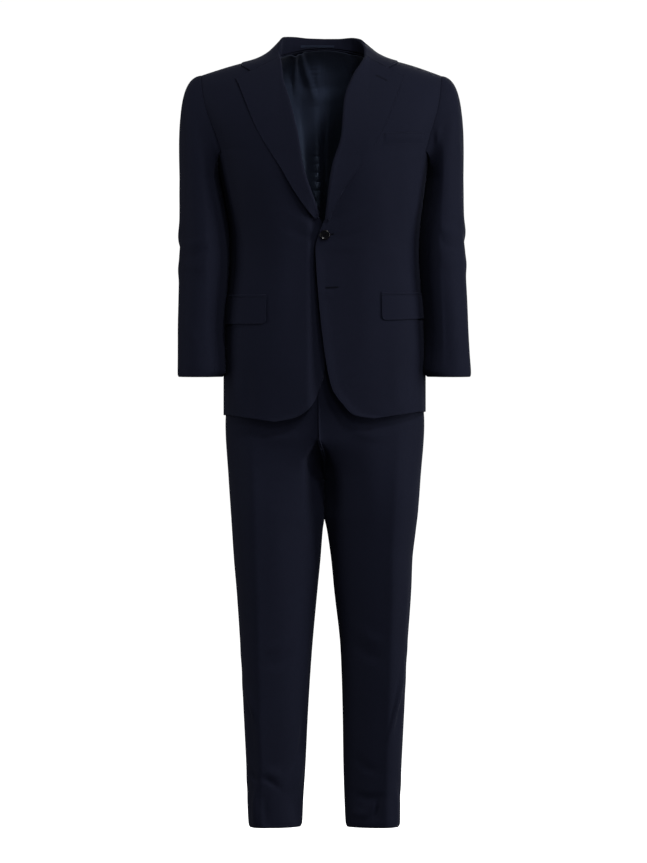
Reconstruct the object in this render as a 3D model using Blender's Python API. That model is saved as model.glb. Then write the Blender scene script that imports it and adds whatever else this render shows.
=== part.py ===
"""A two-piece suit, filled out as if worn, with no wearer: a notch-lapel jacket over trousers.

Run with: blender --background --python part.py

Metres, +Z up. The front faces -Y, and +X is the wearer's left. The origin is in the middle of the
neck opening, level with the tops of the shoulders, where the wearer's shoulders hold the suit up.
Every piece of cloth is a thin wall of its own, 0.3 mm from its neighbours.
"""

import bmesh
import bpy
import numpy as np

# Driving sizes.
CLOTH = 0.0020
TROUSER_CLOTH = 0.0015
LINING_CLOTH = 0.0010
SEAM_GAP = 0.0003
SAMPLE = 1e-5
TURN_SAMPLE = 0.05
DOWN_SAMPLE = 1e-4

CHEST_LINE = -0.184
ARMHOLE_DROP = 0.028
SIDE_SEAMS = {"front": 65.0, "back": 118.0}
NECK_HALF = 0.090
NECK_HEIGHT = 0.014
SHOULDER_DEPTH = 0.004
SHOULDER_CURVE = 0.0025
NECK_RUN = 0.026
SHOULDER_TOP = 1e-5
BACK_NECK_RISE = 0.016
FULLNESS = {"front": 1.05, "back": 0.80}
HEIGHT_STEPS = 8

BICEPS = -0.240
CUFF = -0.646

WAIST_TOP = -0.555
WAIST_SEAM = -0.595
FORK_START = -0.770
CROTCH = -0.855
FLY_SHIFT = 0.012
FLY_SPREAD = 6
FLY_FROM = (-0.815, -0.770)
SHIELD_ACROSS = (-0.034, 0.010)
SHIELD_LEVELS = (-0.600, -0.640, -0.690, -0.735)
SHIELD_OFF = 0.0040
WAISTBAND_FRONT = 9
WAISTBAND_BACK = 8

BUTTON_RADIUS = 0.0105
BUTTON_THICKNESS = 0.0032

MATERIALS = {
    "wool": ((0.007, 0.008, 0.013, 1.0), 0.85),
    "satin": ((0.010, 0.016, 0.040, 1.0), 0.35),
    "horn": ((0.012, 0.010, 0.009, 1.0), 0.25),
}

# The jacket's body: half widths, depths to the front and back, and how square each level is.
BODY_COLUMNS = "height right left front back square"
BODY_ROWS = (
    (-0.760, 0.207, 0.208, 0.140, 0.124, 3.1),
    (-0.652, 0.207, 0.208, 0.139, 0.122, 3.1),
    (-0.600, 0.206, 0.208, 0.138, 0.119, 3.2),
    (-0.554, 0.205, 0.206, 0.137, 0.115, 3.2),
    (-0.494, 0.201, 0.202, 0.135, 0.107, 3.3),
    (-0.420, 0.194, 0.196, 0.133, 0.099, 3.3),
    (-0.385, 0.193, 0.195, 0.134, 0.099, 3.3),
    (-0.350, 0.194, 0.196, 0.137, 0.103, 3.3),
    (-0.283, 0.204, 0.2035, 0.145, 0.113, 3.2),
    (-0.211, 0.219, 0.2145, 0.150, 0.120, 3.1),
    (-0.184, 0.225, 0.221, 0.150, 0.121, 3.0),
    (-0.100, 0.226, 0.222, 0.150, 0.121, 3.0),
)
BODY_MIDDLE = 0.011

# How far the armhole seam has spread from the side seam to the shoulder point, by its rise.
ARMHOLE_COLUMNS = "rise front back"
ARMHOLE_ROWS = (
    (0.00, 0.00, 0.00),
    (0.22, 0.31, 0.20),
    (0.36, 0.52, 0.38),
    (0.62, 0.83, 0.72),
    (0.80, 0.94, 0.90),
    (1.00, 1.00, 1.00),
)
SHOULDER_POINT = {"right": (0.252, -0.027), "left": (0.240, -0.028)}

# The fold where each front turns back into its lapel, by height.
ROLL_COLUMNS = "height right left"
ROLL_ROWS = (
    (-0.336, -0.008, 0.002),
    (-0.300, -0.020, 0.008),
    (-0.221, -0.046, 0.019),
    (-0.157, -0.056, 0.037),
    (-0.084, -0.073, 0.043),
    (-0.035, -0.087, 0.061),
    (-0.014, -0.088, 0.074),
    (0.014, -0.090, 0.090),
)

# Each front below the fold: the level of its side seam, and its edge's place on that row.
# Columns: side_level, edge_x, edge_height.
FRONT_ROWS = {
    "left": (
        (-0.717, 0.100, -0.731),
        (-0.700, 0.062, -0.7245),
        (-0.680, 0.036, -0.700),
        (-0.652, 0.016, -0.670),
        (-0.600, 0.006, -0.630),
        (-0.554, -0.004, -0.560),
        (-0.494, -0.011, -0.494),
        (-0.420, -0.0165, -0.420),
        (-0.385, -0.018, -0.385),
        (-0.350, -0.010, -0.352),
    ),
    "right": (
        (-0.724, -0.100, -0.738),
        (-0.700, -0.062, -0.730),
        (-0.680, -0.034, -0.7135),
        (-0.652, -0.014, -0.682),
        (-0.600, -0.001, -0.640),
        (-0.554, 0.006, -0.570),
        (-0.494, 0.014, -0.494),
        (-0.420, 0.018, -0.420),
        (-0.385, 0.018, -0.385),
        (-0.350, 0.006, -0.352),
    ),
}
UPPER_LEVELS = (-0.312, -0.265, -0.218)
SHOULDER_ROWS = 5
FRONT_ACROSS = 8
SPREAD_TURN = np.radians(78.0)
BACK_INSIDE_NECK = (0.0, 0.55)
BACK_OUTSIDE_NECK = (0.0, 0.25, 0.50, 0.72, 0.88, 1.0)
HEM_DIP = 0.012

# The right front passes under the left one, this far behind it.
UNDERLAP = 0.0065
UNDERLAP_FROM = -0.055
UNDERLAP_FULL = -0.024
UNDERLAP_UP_TO = (-0.345, -0.260)

# Each lapel, from the gorge down: its fold, its outer edge, and how far each stands off the front.
# Columns: roll_height, edge_x, edge_height, roll_lift, edge_lift.
LAPEL_ROWS = {
    "right": (
        (0.0040, -0.181, -0.037, 0.0065, 0.0028),
        (-0.018, -0.172, -0.056, 0.0060, 0.0028),
        (-0.043, -0.164, -0.076, 0.0050, 0.0028),
        (-0.070, -0.155, -0.099, 0.0045, 0.0028),
        (-0.098, -0.146, -0.122, 0.0045, 0.0028),
        (-0.128, -0.135, -0.145, 0.0045, 0.0030),
        (-0.158, -0.122, -0.168, 0.0050, 0.0032),
        (-0.190, -0.105, -0.195, 0.0060, 0.0040),
        (-0.221, -0.084, -0.228, 0.0070, 0.0055),
        (-0.252, -0.066, -0.260, 0.0080, 0.0075),
        (-0.282, -0.047, -0.289, 0.0080, 0.0080),
        (-0.304, -0.031, -0.310, 0.0070, 0.0070),
        (-0.321, -0.018, -0.325, 0.0050, 0.0050),
    ),
    "left": (
        (0.0040, 0.163, -0.034, 0.0065, 0.0028),
        (-0.018, 0.155, -0.054, 0.0060, 0.0028),
        (-0.043, 0.147, -0.075, 0.0050, 0.0028),
        (-0.070, 0.139, -0.097, 0.0045, 0.0028),
        (-0.098, 0.130, -0.120, 0.0045, 0.0028),
        (-0.128, 0.118, -0.146, 0.0045, 0.0030),
        (-0.158, 0.104, -0.172, 0.0050, 0.0032),
        (-0.190, 0.088, -0.198, 0.0060, 0.0036),
        (-0.221, 0.067, -0.226, 0.0070, 0.0042),
        (-0.252, 0.045, -0.256, 0.0075, 0.0048),
        (-0.282, 0.029, -0.287, 0.0070, 0.0050),
        (-0.304, 0.019, -0.308, 0.0060, 0.0048),
        (-0.324, 0.010, -0.328, 0.0045, 0.0045),
    ),
}

LAPEL_ACROSS = (0.0, 0.15, 0.36, 0.58, 0.80, 1.0)

# The collar from centre back to each front end: its seam, its fold and its outer edge.
COLLAR_COLUMNS = "along seam_x fold_x fold_y fold_z edge_x edge_y"
COLLAR_ROWS = {
    "right": (
        (0, 0.000, 0.000, 0.0560, 0.0465, 0.000, 0.0960),
        (1, 0.034, 0.033, 0.0535, 0.0475, 0.048, 0.0900),
        (2, 0.062, 0.060, 0.0435, 0.0500, 0.092, 0.0730),
        (3, 0.083, 0.080, 0.0220, 0.0490, 0.130, 0.0460),
        (4, 0.091, 0.0885, -0.0020, 0.0380, 0.156, 0.0120),
        (5, 0.0915, 0.0895, -0.0220, 0.0240, 0.168, -0.0200),
        (6, 0.0905, 0.0885, -0.0350, 0.0150, 0.1495, -0.0500),
    ),
    "left": (
        (0, 0.000, 0.000, 0.0560, 0.0465, 0.000, 0.0960),
        (1, 0.034, 0.028, 0.0535, 0.0465, 0.048, 0.0900),
        (2, 0.062, 0.052, 0.0435, 0.0475, 0.088, 0.0730),
        (3, 0.083, 0.071, 0.0220, 0.0450, 0.120, 0.0460),
        (4, 0.091, 0.0805, -0.0020, 0.0360, 0.142, 0.0120),
        (5, 0.0915, 0.0835, -0.0220, 0.0240, 0.151, -0.0200),
        (6, 0.0905, 0.0860, -0.0350, 0.0150, 0.1320, -0.0500),
    ),
}
COLLAR_STATIONS = (0.0, 0.8, 1.6, 2.3, 3.0, 3.5, 4.0, 4.5, 5.0, 5.5, 6.0)
COLLAR_SEAM_LIFT = 0.0018
COLLAR_EDGE_LIFT = 0.0032
SEAM_CHANGE = 3.6
FRONT_SEAM_DROP = 0.012
FOLD_RADIUS = 0.0024
FOLD_ANGLES = (180.0, 135.0, 90.0, 45.0, 5.0)
FALL_SAG = 0.004
SAG_BETWEEN = (1.0, 3.0)
FALL_STEPS = 3

# Each sleeve below its head: outer and inner sides, and its depth from front to back.
SLEEVE_COLUMNS = "height outer inner middle half_depth"
SLEEVE_ROWS = {
    "right": (
        (-0.646, 0.300, 0.2060, -0.050, 0.047),
        (-0.600, 0.300, 0.2060, -0.047, 0.050),
        (-0.554, 0.300, 0.2050, -0.043, 0.054),
        (-0.494, 0.299, 0.2000, -0.038, 0.059),
        (-0.434, 0.2985, 0.1935, -0.033, 0.063),
        (-0.392, 0.298, 0.1905, -0.029, 0.067),
        (-0.353, 0.298, 0.1930, -0.024, 0.070),
        (-0.283, 0.297, 0.2030, -0.012, 0.074),
        (-0.240, 0.296, 0.2140, -0.005, 0.077),
    ),
    "left": (
        (-0.646, 0.300, 0.2090, -0.050, 0.047),
        (-0.600, 0.298, 0.2080, -0.047, 0.050),
        (-0.554, 0.2955, 0.2060, -0.043, 0.054),
        (-0.494, 0.293, 0.2010, -0.038, 0.059),
        (-0.434, 0.290, 0.1950, -0.033, 0.063),
        (-0.392, 0.2885, 0.1925, -0.029, 0.067),
        (-0.353, 0.287, 0.1940, -0.024, 0.070),
        (-0.283, 0.285, 0.2030, -0.012, 0.074),
        (-0.240, 0.284, 0.2100, -0.005, 0.077),
    ),
}
SLEEVE_CLEAR = 0.0016
SLEEVE_LEVELS = {
    "right": (-0.283, -0.353, -0.412, -0.470, -0.530, -0.590, -0.646),
    "left": (-0.283, -0.345, -0.405, -0.466, -0.524, -0.586, -0.646),
}
SLEEVE_CAP = (0.0, 0.12, 0.28, 0.50, 0.75, 1.0)
SLEEVE_SQUARE = 2.2
SLEEVE_AXIS_DROP = 0.08
CAP_START = 0.55
CAP_END = 1.30
ARMHOLE_GAP = 0.0006
SCOOP_FULLNESS = 0.8
SCOOP_ROWS = 3
ARMHOLE_ANGLES = tuple(range(0, 360, 30))
FRONT_ARC = 118.0
BACK_ARC = 242.0
SCOOP_STEPS = 4
BACK_SEAM_STEP = 2

# The hip pockets: where each flap starts, how far round it runs, and its height.
FLAPS = {
    "right": {"start": 0.118, "turn": 77.0, "top": -0.484, "bottom": -0.538, "rise": 0.0},
    "left": {"start": 0.116, "turn": 76.5, "top": -0.479, "bottom": -0.531, "rise": 0.005},
}
FLAP_PLACES = (0.0, 0.0026, 0.009, 0.026, 0.045, 0.063, 0.081, 0.100, 0.120, 0.142)
FLAP_ROWS = (0.0, 0.35, 0.70, 1.0)
FLAP_CLOTH = 0.0015
FLAP_OFF = 0.0010
FLAP_CORNER = 0.009
JET_HEIGHT = 0.005
JET_OFF = 0.0008
WELT_FROM = (0.120, -0.174)
WELT_TO = (0.203, -0.170)
WELT_HEIGHT = 0.023
WELT_ACROSS = 7

BUTTON_UPPER = {"x": 0.001, "height": -0.358, "sunk": 0.0012, "radius": BUTTON_RADIUS}
BUTTON_LOWER = {"x": 0.002, "height": -0.467, "sunk": 0.0006, "radius": 0.95 * BUTTON_RADIUS}
BUTTON_SIDES = 16
BUTTON_PROFILE = (
    (0.0, 0.0), (0.86, 0.0), (1.0, 0.30), (1.0, 0.75), (0.90, 1.0), (0.74, 0.86), (0.0, 0.70),
)

LINING_OFF = 0.0016
LINING_FROM_ROW = 9
LOOP_SPAN = (-0.048, 0.020)
LOOP_HEIGHTS = (0.0355, 0.0305)
LOOP_OFF = 0.0115
LOOP_BOW = 0.0025
LOOP_POINTS = 8

# The depths of the trousers above the fork.
HIP_COLUMNS = "height front back"
HIP_ROWS = (
    (-0.900, 0.103, 0.112),
    (-0.828, 0.106, 0.119),
    (-0.742, 0.108, 0.123),
    (-0.700, 0.110, 0.122),
    (-0.650, 0.112, 0.117),
    (-0.595, 0.112, 0.108),
    (-0.555, 0.111, 0.100),
)
HIP_SQUARE = 2.5

# Each leg: its outer side, which runs on up to the waist, its inner side and its depths.
LEG_COLUMNS = "height outer inner front back"
LEG_ROWS = {
    "right": (
        (-1.568, 0.156, 0.045, 0.062, 0.064),
        (-1.513, 0.158, 0.043, 0.063, 0.066),
        (-1.451, 0.160, 0.039, 0.066, 0.068),
        (-1.328, 0.166, 0.033, 0.073, 0.071),
        (-1.205, 0.172, 0.025, 0.081, 0.076),
        (-1.082, 0.180, 0.014, 0.089, 0.083),
        (-1.021, 0.185, 0.008, 0.093, 0.088),
        (-0.959, 0.189, 0.003, 0.096, 0.095),
        (-0.927, 0.191, 0.0008, 0.098, 0.100),
        (-0.855, 0.196, 0.0008, 0.101, 0.110),
        (-0.742, 0.203, 0.0008, 0.104, 0.117),
        (-0.650, 0.194, 0.0008, 0.106, 0.117),
        (-0.555, 0.180, 0.0008, 0.106, 0.117),
    ),
    "left": (
        (-1.568, 0.156, 0.043, 0.062, 0.064),
        (-1.513, 0.156, 0.041, 0.063, 0.066),
        (-1.451, 0.158, 0.039, 0.066, 0.068),
        (-1.328, 0.164, 0.037, 0.073, 0.071),
        (-1.205, 0.170, 0.033, 0.081, 0.076),
        (-1.082, 0.178, 0.020, 0.089, 0.083),
        (-1.021, 0.180, 0.014, 0.093, 0.088),
        (-0.959, 0.187, 0.005, 0.096, 0.095),
        (-0.927, 0.191, 0.0008, 0.098, 0.100),
        (-0.855, 0.197, 0.0008, 0.101, 0.110),
        (-0.742, 0.205, 0.0008, 0.104, 0.117),
        (-0.650, 0.196, 0.0008, 0.106, 0.117),
        (-0.555, 0.181, 0.0008, 0.106, 0.117),
    ),
}
LEG_SQUARE = 2.15
FORK_SPREAD = 2.5
CREASE_SHARE = {"front": 0.74, "back": 0.36}
CREASE_HEIGHT = 0.004
CREASE_REACH = 0.014
CREASE_FROM = -0.680
CREASE_FULL = -0.900
CREASE_COLUMN = 0.45
LEG_LEVELS = (-0.895, -0.941, -1.000, -1.080, -1.180, -1.280, -1.380, -1.480, -1.568)
HIP_LEVELS = (-0.5953, -0.640, -0.700, -0.742)
FORK_STEPS = 5
LEG_EASE = (-0.700, -0.930)
LEG_SHARES = (0.0, 0.12, 0.28, 0.45, 0.64, 0.82, 1.0)


class Curve:
    """A smooth curve through the values of a table's column, which never overshoots them."""

    def __init__(self, places, values):
        self.places = np.array(places, float)
        self.values = np.array(values, float)
        steps = np.diff(self.values) / np.diff(self.places)
        before, after = steps[:-1], steps[1:]
        same_way = before * after > 0
        total = np.where(same_way, before + after, 1.0)
        inner = np.where(same_way, 2 * before * after / total, 0.0)
        self.slopes = np.concatenate([steps[:1], inner, steps[-1:]])

    def __call__(self, place):
        place = np.clip(place, self.places[0], self.places[-1])
        last = len(self.places) - 2
        i = np.clip(np.searchsorted(self.places, place, side="right") - 1, 0, last)
        width = self.places[i + 1] - self.places[i]
        t = (place - self.places[i]) / width
        start = (1 + 2 * t) * (1 - t) ** 2 * self.values[i]
        end = t * t * (3 - 2 * t) * self.values[i + 1]
        leave = t * (1 - t) ** 2 * width * self.slopes[i]
        arrive = t * t * (t - 1) * width * self.slopes[i + 1]
        return start + end + leave + arrive


def curves(columns, rows):
    """Each named column of a table, as a smooth curve over its first column."""
    values = np.array(rows, float)
    names = columns.split()
    return {name: Curve(values[:, 0], values[:, k + 1]) for k, name in enumerate(names[1:])}


BODY = curves(BODY_COLUMNS, BODY_ROWS)
ARMHOLE_SPREAD = curves(ARMHOLE_COLUMNS, ARMHOLE_ROWS)
ROLL = curves(ROLL_COLUMNS, ROLL_ROWS)
SLEEVE = {side: curves(SLEEVE_COLUMNS, rows) for side, rows in SLEEVE_ROWS.items()}
HIP = curves(HIP_COLUMNS, HIP_ROWS)
LEG = {side: curves(LEG_COLUMNS, rows) for side, rows in LEG_ROWS.items()}
COLLAR = {side: curves(COLLAR_COLUMNS, rows) for side, rows in COLLAR_ROWS.items()}


def sign(side):
    """The X direction of the wearer's left or right side."""
    return 1.0 if side == "left" else -1.0


def unit(vectors):
    return vectors / np.linalg.norm(vectors, axis=-1, keepdims=True)


def smooth_step(value, start, end):
    """0 before start, 1 after end, and a soft change between."""
    t = np.clip((value - start) / (end - start), 0.0, 1.0)
    return t * t * (3 - 2 * t)


def points(x, y, z):
    return np.stack(np.broadcast_arrays(x, y, z), axis=-1)


# The jacket's body, as one smooth form that its panels share.


def body_ring(side, turn, height):
    """A point of the body at a level: turn is 0 at centre front, 90 at the side, 180 at the back."""
    turn = np.radians(turn)
    power = 2.0 / BODY["square"](height)
    across, along = np.sin(turn), np.cos(turn)
    depth = np.where(along > 0, -BODY["front"](height), BODY["back"](height))
    x = sign(side) * BODY[side](height) * np.sign(across) * np.abs(across) ** power
    return points(x, BODY_MIDDLE + depth * np.abs(along) ** power, height)


def body_side(side, y, height):
    """How far out the body reaches at a depth."""
    y = y - BODY_MIDDLE
    square = BODY["square"](height)
    depth = np.where(y < 0, BODY["front"](height), BODY["back"](height))
    share = np.clip(np.abs(y) / depth, 0.0, 1.0)
    return BODY[side](height) * (1 - share**square) ** (1 / square)


def shoulder_height(side, x):
    """The height of the shoulder line over a place, and of its run on past the neck."""
    outer, height = SHOULDER_POINT[side]
    out = np.abs(x) - NECK_HALF
    share = out / (outer - NECK_HALF)
    line = NECK_HEIGHT + (height - NECK_HEIGHT) * share
    line = line + SHOULDER_CURVE * np.sin(np.pi * np.clip(share, 0.0, 1.0))
    inside = NECK_HEIGHT + NECK_RUN * (1 - (x / NECK_HALF) ** 2)
    return np.where(out > 0, line, inside)


def seam_x(side, face, height):
    """How far out a front or back panel reaches: to its side seam, or above it to the armhole."""
    turn = np.radians(SIDE_SEAMS[face])
    share = np.abs(np.sin(turn)) ** (2.0 / BODY["square"](height))
    below = BODY[side](height) * share
    top = SHOULDER_POINT[side][1]
    rise = (height - CHEST_LINE) / (top - CHEST_LINE)
    spread_out = ARMHOLE_SPREAD[face](np.clip(rise, 0.0, 1.0))
    chest = BODY[side](CHEST_LINE) * np.abs(np.sin(turn)) ** (2.0 / BODY["square"](CHEST_LINE))
    above = chest + (SHOULDER_POINT[side][0] - chest) * spread_out
    return np.where(height <= CHEST_LINE, below, above)


def body_depth(side, face, x, height):
    """Y of the front or back of the body. Above the chest line it domes over to the shoulder."""
    level = np.minimum(height, CHEST_LINE)
    reach = seam_x(side, face, CHEST_LINE)
    across = np.where(height > CHEST_LINE, x / seam_x(side, face, height) * reach, x)
    square = BODY["square"](level)
    share = np.clip(np.abs(across) / BODY[side](level), 0.0, 1.0)
    direction = -1.0 if face == "front" else 1.0
    depth = BODY_MIDDLE + direction * BODY[face](level) * (1 - share**square) ** (1 / square)
    rise = (height - CHEST_LINE) / (shoulder_height(side, x) - CHEST_LINE)
    rise = np.clip(rise, 0.0, 1.0)
    dome = np.sqrt(1 - rise * rise) ** FULLNESS[face]
    return SHOULDER_DEPTH + (depth - SHOULDER_DEPTH) * dome


def body_height(side, face, x, depth):
    """The height at which the yoke reaches a depth: body_depth, turned round."""
    height = shoulder_height(side, x)
    for _ in range(HEIGHT_STEPS):
        across = x / seam_x(side, face, height) * seam_x(side, face, CHEST_LINE)
        full = body_depth(side, face, across, CHEST_LINE)
        share = np.clip((depth - SHOULDER_DEPTH) / (full - SHOULDER_DEPTH), 0.0, 1.0)
        rise = np.sqrt(1 - share ** (2 / FULLNESS[face]))
        height = CHEST_LINE + rise * (shoulder_height(side, x) - CHEST_LINE)
    return height


def underlap(side, x, height):
    """How far back the right front is pushed where it passes under the left one."""
    if side == "left":
        return 0.0
    across = smooth_step(x, UNDERLAP_FROM, UNDERLAP_FULL)
    return UNDERLAP * across * (1 - smooth_step(height, *UNDERLAP_UP_TO))


def body_face(side, face, x, height):
    depth = body_depth(side, face, x, height)
    if face == "front":
        depth = depth + underlap(side, x, height)
    return points(x, depth, height)


def outward(surface, first, second):
    """Unit normals of a surface given by a function of two numbers, pointing off the body."""
    along = surface(first + SAMPLE, second) - surface(first - SAMPLE, second)
    up = surface(first, second + SAMPLE) - surface(first, second - SAMPLE)
    return unit(np.cross(along, up))


def face_normal(side, face, x, height):
    """Unit normals of the front or back of the body."""
    slope_x = body_depth(side, face, x + SAMPLE, height) - body_depth(side, face, x - SAMPLE, height)
    slope_z = body_depth(side, face, x, height + SAMPLE) - body_depth(side, face, x, height - SAMPLE)
    scale = 2 * SAMPLE
    way = 1.0 if face == "front" else -1.0
    normal = unit(points(way * slope_x / scale, -way, way * slope_z / scale))
    top = shoulder_height(side, x)
    tilt = (shoulder_height(side, x + SAMPLE) - shoulder_height(side, x - SAMPLE)) / scale
    ridge = unit(points(-tilt, 0.0, 1.0))
    return np.where((top - height < SHOULDER_TOP)[..., None], ridge, normal)


# Meshes.


def new_object(name, mesh, slot):
    obj = bpy.data.objects.new(name, mesh)
    mesh.materials.append(material(slot))
    bpy.context.scene.collection.objects.link(obj)
    mesh.shade_smooth()
    mesh.set_sharp_from_angle(angle=np.radians(40))
    return obj


def material(slot):
    """The slot's material, made the first time that it is asked for."""
    if slot in bpy.data.materials:
        return bpy.data.materials[slot]
    made = bpy.data.materials.new(slot)
    made.use_nodes = True
    colour, roughness = MATERIALS[slot]
    made.node_tree.nodes["Principled BSDF"].inputs["Base Color"].default_value = colour
    made.node_tree.nodes["Principled BSDF"].inputs["Roughness"].default_value = roughness
    made.node_tree.nodes["Principled BSDF"].inputs["Metallic"].default_value = 0.0
    return made


def add_wall(name, outer, inner, slot="wool"):
    """A closed wall between two grids of points, which have the same rows and columns.

    Its rim's triangles run the same way on either side of a seam, so that neighbours match.
    """
    rows, columns = outer.shape[:2]
    form = bmesh.new()
    skins = []
    for grid in (outer, inner):
        skins.append([[form.verts.new(point) for point in row] for row in grid])
    for i in range(rows - 1):
        for j in range(columns - 1):
            for skin in skins:
                corners = (skin[i][j], skin[i][j + 1], skin[i + 1][j + 1], skin[i + 1][j])
                form.faces.new(corners)
    rim = [(i, 0) for i in range(rows)]
    rim += [(rows - 1, j) for j in range(1, columns)]
    rim += [(i, columns - 1) for i in reversed(range(rows - 1))]
    rim += [(0, j) for j in reversed(range(1, columns - 1))]
    for pair in zip(rim, rim[1:] + rim[:1]):
        (i, j), (k, m) = sorted(pair)
        form.faces.new((skins[0][i][j], skins[0][k][m], skins[1][k][m]))
        form.faces.new((skins[0][i][j], skins[1][k][m], skins[1][i][j]))
    bmesh.ops.recalc_face_normals(form, faces=form.faces)
    mesh = bpy.data.meshes.new(name)
    form.to_mesh(mesh)
    form.free()
    return new_object(name, mesh, slot)


def inset(grid, borders):
    """The grid with the named borders drawn in by half a seam gap."""
    grid = grid.copy()
    half = SEAM_GAP / 2
    if "first_column" in borders:
        grid[:, 0] += half * unit(grid[:, 1] - grid[:, 0])
    if "last_column" in borders:
        grid[:, -1] += half * unit(grid[:, -2] - grid[:, -1])
    if "first_row" in borders:
        grid[0] += half * unit(grid[1] - grid[0])
    if "last_row" in borders:
        grid[-1] += half * unit(grid[-2] - grid[-1])
    return grid


def add_cloth(name, outer, normals, borders, thickness=CLOTH, slot="wool"):
    """A panel whose outer face is the grid, with its wall inside it."""
    inner = outer - thickness * normals
    return add_wall(name, inset(outer, borders), inset(inner, borders), slot)


# The jacket's panels.


def rise_levels():
    """The share of the way up from the chest line to the shoulder, for each row of the yoke."""
    return np.sin(np.radians(np.linspace(0.0, 90.0, SHOULDER_ROWS + 1)))


def spread(start, end, count):
    """Places across a panel, closer together towards its outer end."""
    share = np.sin(SPREAD_TURN * np.linspace(0.0, 1.0, count)) / np.sin(SPREAD_TURN)
    return start + (end - start) * share


def yoke_row(side, face, inner_x, rise, count):
    """X and height along a row above the chest line, from its inner end to the armhole."""
    outer, top = SHOULDER_POINT[side]
    height = CHEST_LINE + rise * (top - CHEST_LINE)
    x = spread(inner_x, sign(side) * seam_x(side, face, height), count)
    return x, CHEST_LINE + rise * (shoulder_height(side, x) - CHEST_LINE)


def front_rows(side, count):
    """X and height of the points of a front panel, row by row from its hem to its shoulder."""
    rows = []
    for side_level, edge_x, edge_height in FRONT_ROWS[side]:
        outer = sign(side) * seam_x(side, "front", side_level)
        x = spread(edge_x, outer, count)
        share = (x - edge_x) / (outer - edge_x)
        rows.append((x, edge_height + (side_level - edge_height) * share))
    for level in UPPER_LEVELS:
        outer = sign(side) * seam_x(side, "front", level)
        x = spread(ROLL[side](level), outer, count)
        rows.append((x, np.full(count, level)))
    for rise in rise_levels():
        neck_height = CHEST_LINE + rise * (NECK_HEIGHT - CHEST_LINE)
        rows.append(yoke_row(side, "front", ROLL[side](neck_height), rise, count))
    return rows


def add_front(side):
    rows = front_rows(side, FRONT_ACROSS)
    x = np.array([row[0] for row in rows])
    height = np.array([row[1] for row in rows])
    outer = body_face(side, "front", x, height)
    normals = face_normal(side, "front", x, height)
    add_cloth(f"jacket_front_{side}", outer, normals, ("last_column", "last_row"))


def side_levels(side):
    """The heights of the rows that the front and back share with the side body."""
    return np.array([row[0] for row in FRONT_ROWS[side]] + list(UPPER_LEVELS))


def scoop(share):
    """How far the armhole drops below the chest line, across the side body."""
    return ARMHOLE_DROP * np.sin(np.pi * share) ** SCOOP_FULLNESS


def add_side(side):
    """The side body, from its hem up to the bottom of the armhole."""
    share = np.linspace(0.0, 1.0, SCOOP_STEPS + 1)
    turn = SIDE_SEAMS["front"] + share * (SIDE_SEAMS["back"] - SIDE_SEAMS["front"])
    levels = np.append(side_levels(side), CHEST_LINE)
    top = CHEST_LINE - scoop(share)
    low = levels[-SCOOP_ROWS]
    height = np.array([
        level + (top - CHEST_LINE) * np.clip((level - low) / (CHEST_LINE - low), 0.0, 1.0)
        for level in levels
    ])
    turn = np.broadcast_to(turn, height.shape)
    outer = body_ring(side, turn, height)
    normals = outward(lambda a, b: body_ring(side, a, b), turn, height) * sign(side)
    add_cloth(f"jacket_side_{side}", outer, normals, ("first_column", "last_column"))


def back_neck_height(side, x):
    """The height of the back neckline over a place."""
    share = np.clip(np.abs(x) / NECK_HALF, 0.0, 1.0)
    return NECK_HEIGHT + BACK_NECK_RISE * (1 - share**2)


def back_top(side, x):
    """The back's upper limit: its neckline inside the neck, its shoulder outside."""
    inside = np.abs(x) < NECK_HALF
    return np.where(inside, back_neck_height(side, x), shoulder_height(side, x))


def back_rows(side, x_shares):
    """X and height of the points of a back panel, row by row from its hem to its top."""
    rows = []
    for level in side_levels(side):
        x = sign(side) * seam_x(side, "back", level) * x_shares
        dip = HEM_DIP * (1 - x_shares**2) * (level < side_levels(side)[0] + SAMPLE)
        rows.append((x, level - dip))
    for rise in rise_levels():
        outer, top = SHOULDER_POINT[side]
        level = CHEST_LINE + rise * (top - CHEST_LINE)
        reach = seam_x(side, "back", level)
        neck = NECK_HALF / seam_x(side, "back", top)
        x = sign(side) * reach * x_shares
        final = sign(side) * seam_x(side, "back", top) * x_shares
        limit = np.where(x_shares < neck, back_top(side, final), shoulder_height(side, x))
        rows.append((x, CHEST_LINE + rise * (limit - CHEST_LINE)))
    return rows


def back_shares(side):
    """The places of a back panel's columns, one of them at the side of the neck."""
    neck = NECK_HALF / SHOULDER_POINT[side][0]
    inside = neck * np.array(BACK_INSIDE_NECK)
    outside = neck + (1 - neck) * np.array(BACK_OUTSIDE_NECK)
    return np.concatenate([inside, outside])


def add_back(side):
    rows = back_rows(side, back_shares(side))
    x = np.array([row[0] for row in rows])
    height = np.array([row[1] for row in rows])
    outer = body_face(side, "back", x, height)
    normals = face_normal(side, "back", x, height)
    borders = ("first_column", "last_column", "last_row")
    add_cloth(f"jacket_back_{side}", outer, normals, borders)


def add_lapel(side):
    """The turned-back lapel, made from the front's own points moved out."""
    rows = LAPEL_ROWS[side]
    share = np.array(LAPEL_ACROSS)
    grid, normals = [], []
    for roll_height, edge_x, edge_height, roll_lift, edge_lift in rows:
        roll_x = ROLL[side](roll_height)
        x = roll_x + (edge_x - roll_x) * share
        height = roll_height + (edge_height - roll_height) * share
        normal = face_normal(side, "front", x, height)
        lift = edge_lift + (roll_lift - edge_lift) * (1 - share) ** 2
        base = body_face(side, "front", x, height)
        grid.append(base + (lift + CLOTH)[:, None] * normal)
        normals.append(normal)
    add_cloth(f"lapel_{side}", np.array(grid), np.array(normals), ())


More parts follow.
